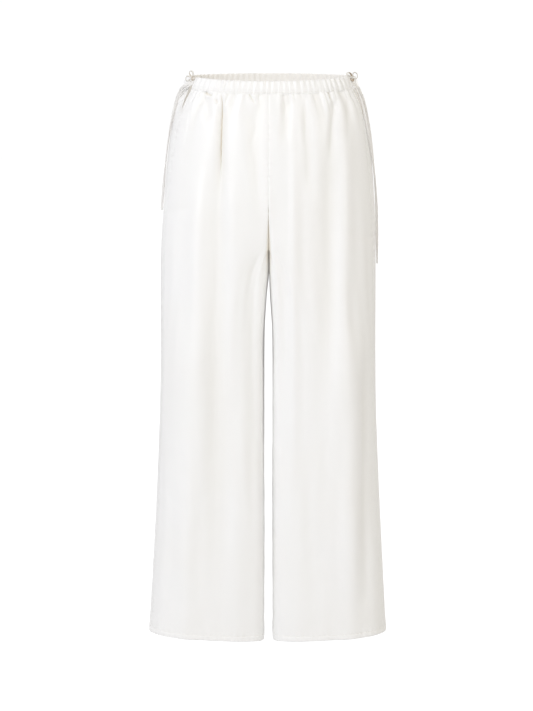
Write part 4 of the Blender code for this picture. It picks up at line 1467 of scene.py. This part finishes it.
@dataclass
class SatinBand:
    """A narrow folded band of satin along a line: a flattened tube with rounded ends."""

    line: Array
    normals: Array
    width: float
    thickness: float
    twist: Array
    sides: int = 20
    power: float = 2.6
    inner_shade: float = 0.0
    shade: float = 0.0

    def build(self) -> MeshPart:
        """Build the band.

        Each ring is the curve |a|^power + |b|^power = 1 scaled to half the width and thickness and turned
        by the twist; the last rings shrink as a quarter circle to close the ends.

        Returns:
            The mesh.
        """
        lengths = running_length(self.line)
        along = unit(np.gradient(self.line, axis=0))
        up = unit(self.normals - along * np.sum(self.normals * along, axis=1, keepdims=True))
        beside = np.cross(along, up)
        cos, sin = np.cos(self.twist)[:, None], np.sin(self.twist)[:, None]
        wide, thin = cos * beside + sin * up, cos * up - sin * beside
        angle = ring_angles(self.sides)
        a, b = (np.sign(k) * np.abs(k) ** (2 / self.power) for k in (np.cos(angle), np.sin(angle)))
        cap = 0.5 * self.thickness
        from_end = np.minimum(lengths, lengths[-1] - lengths)
        round_off = np.sqrt(np.clip(1.0 - (1.0 - np.clip(from_end / cap, 0.02, 1.0)) ** 2, 0.0, 1.0))
        half_wide = 0.5 * self.width * (1.0 - 0.4 * (1.0 - round_off)) * np.maximum(round_off, 0.35)
        half_wide = half_wide * (1.0 + 0.05 * wave(lengths / 0.017) + 0.03 * wave(lengths / 0.0061))
        half_thin = cap * np.maximum(round_off, 0.15)
        rings = (self.line[:, None, :] + half_wide[:, None, None] * a[None, :, None] * wide[:, None, :]
                 + half_thin[:, None, None] * b[None, :, None] * thin[:, None, :])
        points, faces = tube(rings, self.line)
        # Painted shade: inner_shade on the side towards the line's middle, such as a loop's inside, and shade
        # at least all over.
        middle = self.line.mean(axis=0)
        inside = np.linalg.norm(self.line - middle, axis=1)[:, None] - np.linalg.norm(rings - middle, axis=2)
        depth = np.maximum(self.inner_shade * np.clip(inside / cap + 0.3, 0.0, 1.0), self.shade)
        uvs = grid_uvs(np.arange(self.sides) / self.sides * 2 * self.width, lengths[:, None])
        return MeshPart(points, faces, uvs, depth)


@dataclass
class SideTie:
    """The tie over one side vent: its knot, the bow's two loops and the two free ends."""

    form: GarmentForm
    side: Side
    finish: bpy.types.Material
    tail_lengths: dict[Face, float]
    shade: float
    band_width: float = 0.0052
    band_thickness: float = 0.0022
    loop_width: float = 0.0042
    loop_thickness: float = 0.0013
    loop_step: float = 0.0006
    tail_step: float = 0.0012
    knot_rings: int = 64
    knot_sides: int = 48
    knot_blur: int = 9
    knot_length: float = 0.009
    knot_cloth_radius: float = 0.004

    def build(self) -> list[bpy.types.Object]:
        """Build the knot, the loops and the tails, and return them.

        Returns:
            The pieces.
        """
        pieces = [self.knot()]
        for face in Face:
            pieces.extend((self.loop(face), self.tail(face)))
        return pieces

    def knot(self) -> bpy.types.Object:
        """Build the knot.

        Rings round the line of the knot's points, whose radii swell to the middle; two wraps of the band
        raise it and a crease runs slantwise between them.

        Returns:
            The piece.
        """
        half = metres(KNOT)
        table = np.vstack((half, half[-2::-1] * (-1.0, 1.0, 1.0, 1.0)))
        t = np.linspace(0.0, 1.0, self.knot_rings)
        line = pick(table, np.linspace(0.0, 1.0, len(table)), t)
        kernel = np.hanning(self.knot_blur) / np.hanning(self.knot_blur).sum()
        padded = np.pad(line, ((self.knot_blur // 2,) * 2, (0, 0)), mode="edge")
        line = np.column_stack([np.convolve(column, kernel, mode="valid") for column in padded.T])
        centre = self.form.bow_points(self.side, line)
        _, _, out, up = self.form.vent_frame(self.side)
        angle = ring_angles(self.knot_sides)
        at = (t[:, None] - 0.5) * 2.0
        swell = bell(at, 0.42)
        slant = at * 9.0 + 1.1 * np.sin(angle)
        wraps = (0.07 * np.cos(slant) - 0.13 * bell(slant - 1.6, 0.35) - 0.10 * bell(slant + 1.9, 0.30)
                 + 0.03 * np.cos(3 * angle))
        radius = line[:, 3:4] * (1.0 + swell * wraps)
        ring = np.cos(angle)[:, None] * out + np.sin(angle)[:, None] * up
        points, faces = tube(centre[:, None, :] + radius[:, :, None] * ring, centre)
        uvs = grid_uvs(angle * self.knot_cloth_radius, t[:, None] * self.knot_length)
        # Shade painted over the whole knot, darker in the grooves between its wraps.
        depth = np.clip(self.shade - 5.0 * swell * wraps, 0.0, 1.0)
        piece = MeshPart(points, faces, uvs, depth).make(f"tie_knot_{self.side.word}", [self.finish])
        return place(piece, TIE_SLOT, f"tie_{self.side.word}_knot")

    def loop(self, face: Face) -> bpy.types.Object:
        """Build one loop of the bow, its band's width across the loop's own plane.

        Args:
            face: Front or back.

        Returns:
            The piece.
        """
        points = self.form.bow_points(self.side, metres(LOOPS[self.side, face]))
        line = smooth_line(points, self.loop_step)
        plane = np.linalg.svd(line - line.mean(axis=0), full_matrices=False)[2][2]
        normals = unit(np.cross(unit(np.gradient(line, axis=0)), plane))
        twist = 0.25 * np.sin(np.linspace(0.0, math.pi, len(line)))
        band = SatinBand(line, normals, self.loop_width, self.loop_thickness, twist,
                         inner_shade=1.0, shade=0.5 * self.shade)
        piece = band.build().make(f"tie_loop_{face.value}_{self.side.word}", [self.finish])
        return place(piece, TIE_SLOT, f"tie_{self.side.word}_loop_{face.value}")

    def tail(self, face: Face) -> bpy.types.Object:
        """Returns:
            The piece.
        """
        start = self.form.bow_points(self.side, metres(TAIL_STARTS[face]))
        _, _, out, _ = self.form.vent_frame(self.side)
        route = [np.hstack((point, out)) for point in start]
        for drop, forward, lift in metres(TAIL_ROUTES[self.side, face]):
            point, normal = self.form.cloth_point(self.side, drop, forward)
            route.append(np.hstack((point + lift * normal, normal)))
        dense = smooth_line(np.array(route), self.tail_step)
        line = dense[:, :3]
        lengths = running_length(line)
        turn = self.side.value * (1.0 if face is Face.FRONT else -1.0)
        twist = turn * (0.55 * wave(lengths / 0.21) + 0.85) * smooth(6.0 * lengths / lengths[-1])
        band = SatinBand(line, unit(dense[:, 3:]), self.band_width, self.band_thickness, twist)
        piece = band.build().make(f"tie_tail_{face.value}_{self.side.word}", [self.finish])
        place(piece, TIE_SLOT, f"tie_{self.side.word}_tail_{face.value}")
        return piece


@dataclass
class Studio:
    """Camera, floor and soft lights."""

    camera_target: tuple[float, float, float] = (-0.0037, 0.0, -0.5205)
    camera_distance: float = 4.33
    camera_elevation: float = 7.0
    camera_lens: float = 117.1
    camera_sensor: float = 36.0
    light_target: tuple[float, float, float] = (0.0, 0.0, -0.5)
    floor_height: float = -1.30
    floor_size: float = 60.0
    floor_lines: int = 13
    key_power: float = 66.5
    fill_power: float = 36.5
    back_power: float = 50.0
    world_light: float = 0.93
    seen_light: float = 1.02
    world_stops: tuple[tuple[float, Color], ...] = (
        (0.0, (0.99, 0.986, 1.0)), (0.25, (0.705, 0.702, 0.718)), (0.5, (0.472, 0.473, 0.480)),
        (0.78, (0.62, 0.594, 0.538)), (1.0, (0.85, 0.79, 0.66)))
    floor_finish: FloorFinish = field(default_factory=FloorFinish)

    @staticmethod
    def stand(name: str, data: Any, at: Vector, target: Vector) -> bpy.types.Object:
        """Put a camera or a light up at a place, facing a target.

        Args:
            name: The object's name.
            data: The camera or light.
            at: Its place.
            target: Where it looks.

        Returns:
            The object.
        """
        stand = bpy.data.objects.new(name, data)
        bpy.context.scene.collection.objects.link(stand)
        stand.location = at
        stand.rotation_euler = (target - at).to_track_quat("-Z", "Y").to_euler()
        return stand

    def camera(self) -> None:
        """Make the camera at the photograph's angle."""
        camera = bpy.data.cameras.new("camera")
        camera.lens = self.camera_lens
        camera.sensor_width = self.camera_sensor
        target = Vector(self.camera_target)
        angle = math.radians(self.camera_elevation)
        at = target + self.camera_distance * Vector((0.0, -math.cos(angle), math.sin(angle)))
        bpy.context.scene.camera = self.stand("camera", camera, at, target)

    def light(self, name: str, at: tuple[float, float, float], size: float, power: float,
              color: Color) -> None:
        """Make one soft square light that faces the garment.

        Args:
            name: The light's name.
            at: Where it stands.
            size: Its side in metres.
            power: Its power in watts.
            color: Its colour.
        """
        lamp = bpy.data.lights.new(name, "AREA")
        lamp.size = size
        lamp.energy = power
        lamp.color = color
        self.stand(name, lamp, Vector(at), Vector(self.light_target))

    def world(self) -> None:
        """Make the surrounding light, brightest at the left and dimmest before and behind the garment."""
        nodes = NodeBuilder(bpy.data.worlds.new("studio_light"))
        bpy.context.scene.world = nodes.owner
        x, _, _ = nodes.split(nodes.add("ShaderNodeTexCoord", {}, {}, "Generated"))
        share = nodes.add("ShaderNodeMapRange", {}, {"Value": x, "From Min": -1.0, "From Max": 1.0})
        color = nodes.add("ShaderNodeValToRGB", {}, {0: share})
        elements = color.socket.node.color_ramp.elements
        while len(elements) < len(self.world_stops):
            elements.new(0.5)
        for stop, (at, shade) in zip(elements, self.world_stops):
            stop.position = at
            stop.color = (*shade, 1.0)
        nodes.fill("Background", {"Color": color, "Strength": self.world_light})
        lit = Socket(nodes, nodes.tree.nodes["Background"].outputs[0])
        plain = nodes.add("ShaderNodeBackground", {}, {"Color": (1.0, 1.0, 1.0), "Strength": self.seen_light})
        seen = nodes.add("ShaderNodeLightPath", {}, {}, "Is Camera Ray")
        mixed = nodes.add("ShaderNodeMixShader", {}, {0: seen, 1: lit, 2: plain})
        nodes.fill("World Output", {"Surface": mixed})

    def floor(self) -> None:
        """Make the floor as a flat grid."""
        line = np.linspace(-0.5, 0.5, self.floor_lines) * self.floor_size
        x, y = np.meshgrid(line, line)
        points = np.stack((x, y, np.full_like(x, self.floor_height)), axis=-1).reshape(-1, 3)
        faces = grid_faces(self.floor_lines, self.floor_lines)[:, ::-1].tolist()
        MeshPart(points, faces, grid_uvs(x, y)).make("floor", [self.floor_finish.build()])

    def build(self) -> None:
        """Make everything but the camera."""
        self.floor()
        self.world()
        self.light("key", (-2.4, -3.3, 1.2), 2.2, self.key_power, (0.970, 0.981, 1.0))
        self.light("fill", (2.6, -3.2, 1.0), 2.4, self.fill_power, (1.0, 0.98, 0.95))
        self.light("back", (1.4, 3.8, 1.2), 2.6, self.back_power, (0.99, 0.99, 1.0))
        bpy.context.scene.view_settings.view_transform = "Standard"


@dataclass
class SideTiePants:
    """The whole garment: four leg panels, two casings, their stitching and two side ties."""

    form: GarmentForm = field(default_factory=GarmentForm)
    cut_widths: dict[Face, float] = field(default_factory=lambda: {Face.FRONT: 0.345, Face.BACK: 0.395})
    cut_areas: dict[Face, float] = field(default_factory=lambda: {Face.FRONT: 0.315, Face.BACK: 0.345})
    cut_length: float = 1.055
    casing_lengths: dict[Face, float] = field(default_factory=lambda: {Face.FRONT: 0.44, Face.BACK: 0.62})
    tail_lengths: dict[Side, dict[Face, float]] = field(default_factory=lambda: {
        Side.LEFT: {Face.FRONT: 0.347, Face.BACK: 0.325},
        Side.RIGHT: {Face.FRONT: 0.264, Face.BACK: 0.258},
    })
    # Shade painted into each side's knot and loops; the left bow lies deeper in shade.
    tie_shades: dict[Side, float] = field(default_factory=lambda: {Side.LEFT: 0.85, Side.RIGHT: 0.60})

    def build(self) -> list[bpy.types.Object]:
        """Build every piece.

        Returns:
            The pieces.
        """
        # Both satins glow faintly with painted light, the back more, to lighten the casing's shaded inside.
        satin = SatinFinish("ivory_satin", painted_glow=0.05).build()
        inside = SatinFinish("satin_back", roughness=0.62, specular=0.25, sheen=0.05, painted_glow=0.075,
                             light=(0.905, 0.893, 0.872), soft=(0.895, 0.878, 0.850)).build()
        tie = SatinFinish("tie_satin", roughness=0.42, light=(0.905, 0.897, 0.880),
                          soft=(0.890, 0.872, 0.842), painted_deep_shade=(0.48, 0.37, 0.26), slub_relief=0.00003).build()
        thread = ThreadFinish().build()
        pieces = []
        for side in Side:
            ties = SideTie(self.form, side, tie, self.tail_lengths[side], self.tie_shades[side]).build()
            pieces.extend(ties)
            LOG.info("tie %s: %d pieces", side.word, len(ties))
        for face in Face:
            casing = Casing(self.form, face, satin, inside, self.form.casing_height,
                            self.casing_lengths[face])
            piece = casing.build()
            row = StitchRow(f"stitching_casing_{face.value}", *casing.stitch_line(), thread).build()
            casing.declare(piece, [row])
            pieces.extend((piece, row))
            LOG.info("casing %s: %d points", face.value, len(piece.data.vertices))
        relief = ClothRelief(self.form)
        for face in Face:
            for side in Side:
                panel = LegPanel(self.form, relief, side, face, satin, inside, self.cut_widths[face],
                                 self.cut_length, self.cut_areas[face])
                piece = panel.build()
                rows = [StitchRow(f"stitching_hem_{panel.tag}", *panel.hem_line(), thread).build(),
                        StitchRow(f"stitching_vent_{panel.tag}", *panel.vent_line(), thread).build()]
                panel.declare(piece, rows)
                pieces.extend((piece, *rows))
                LOG.info("panel %s: %d points", panel.tag, len(piece.data.vertices))
        return pieces


def main() -> None:
    """Build the studio and the garment."""
    logging.basicConfig(level=logging.INFO, format="%(message)s")
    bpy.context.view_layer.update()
    studio = Studio()
    studio.camera()
    SideTiePants().build()
    studio.build()
    LOG.info("sizes written")


if __name__ == "__main__":
    main()
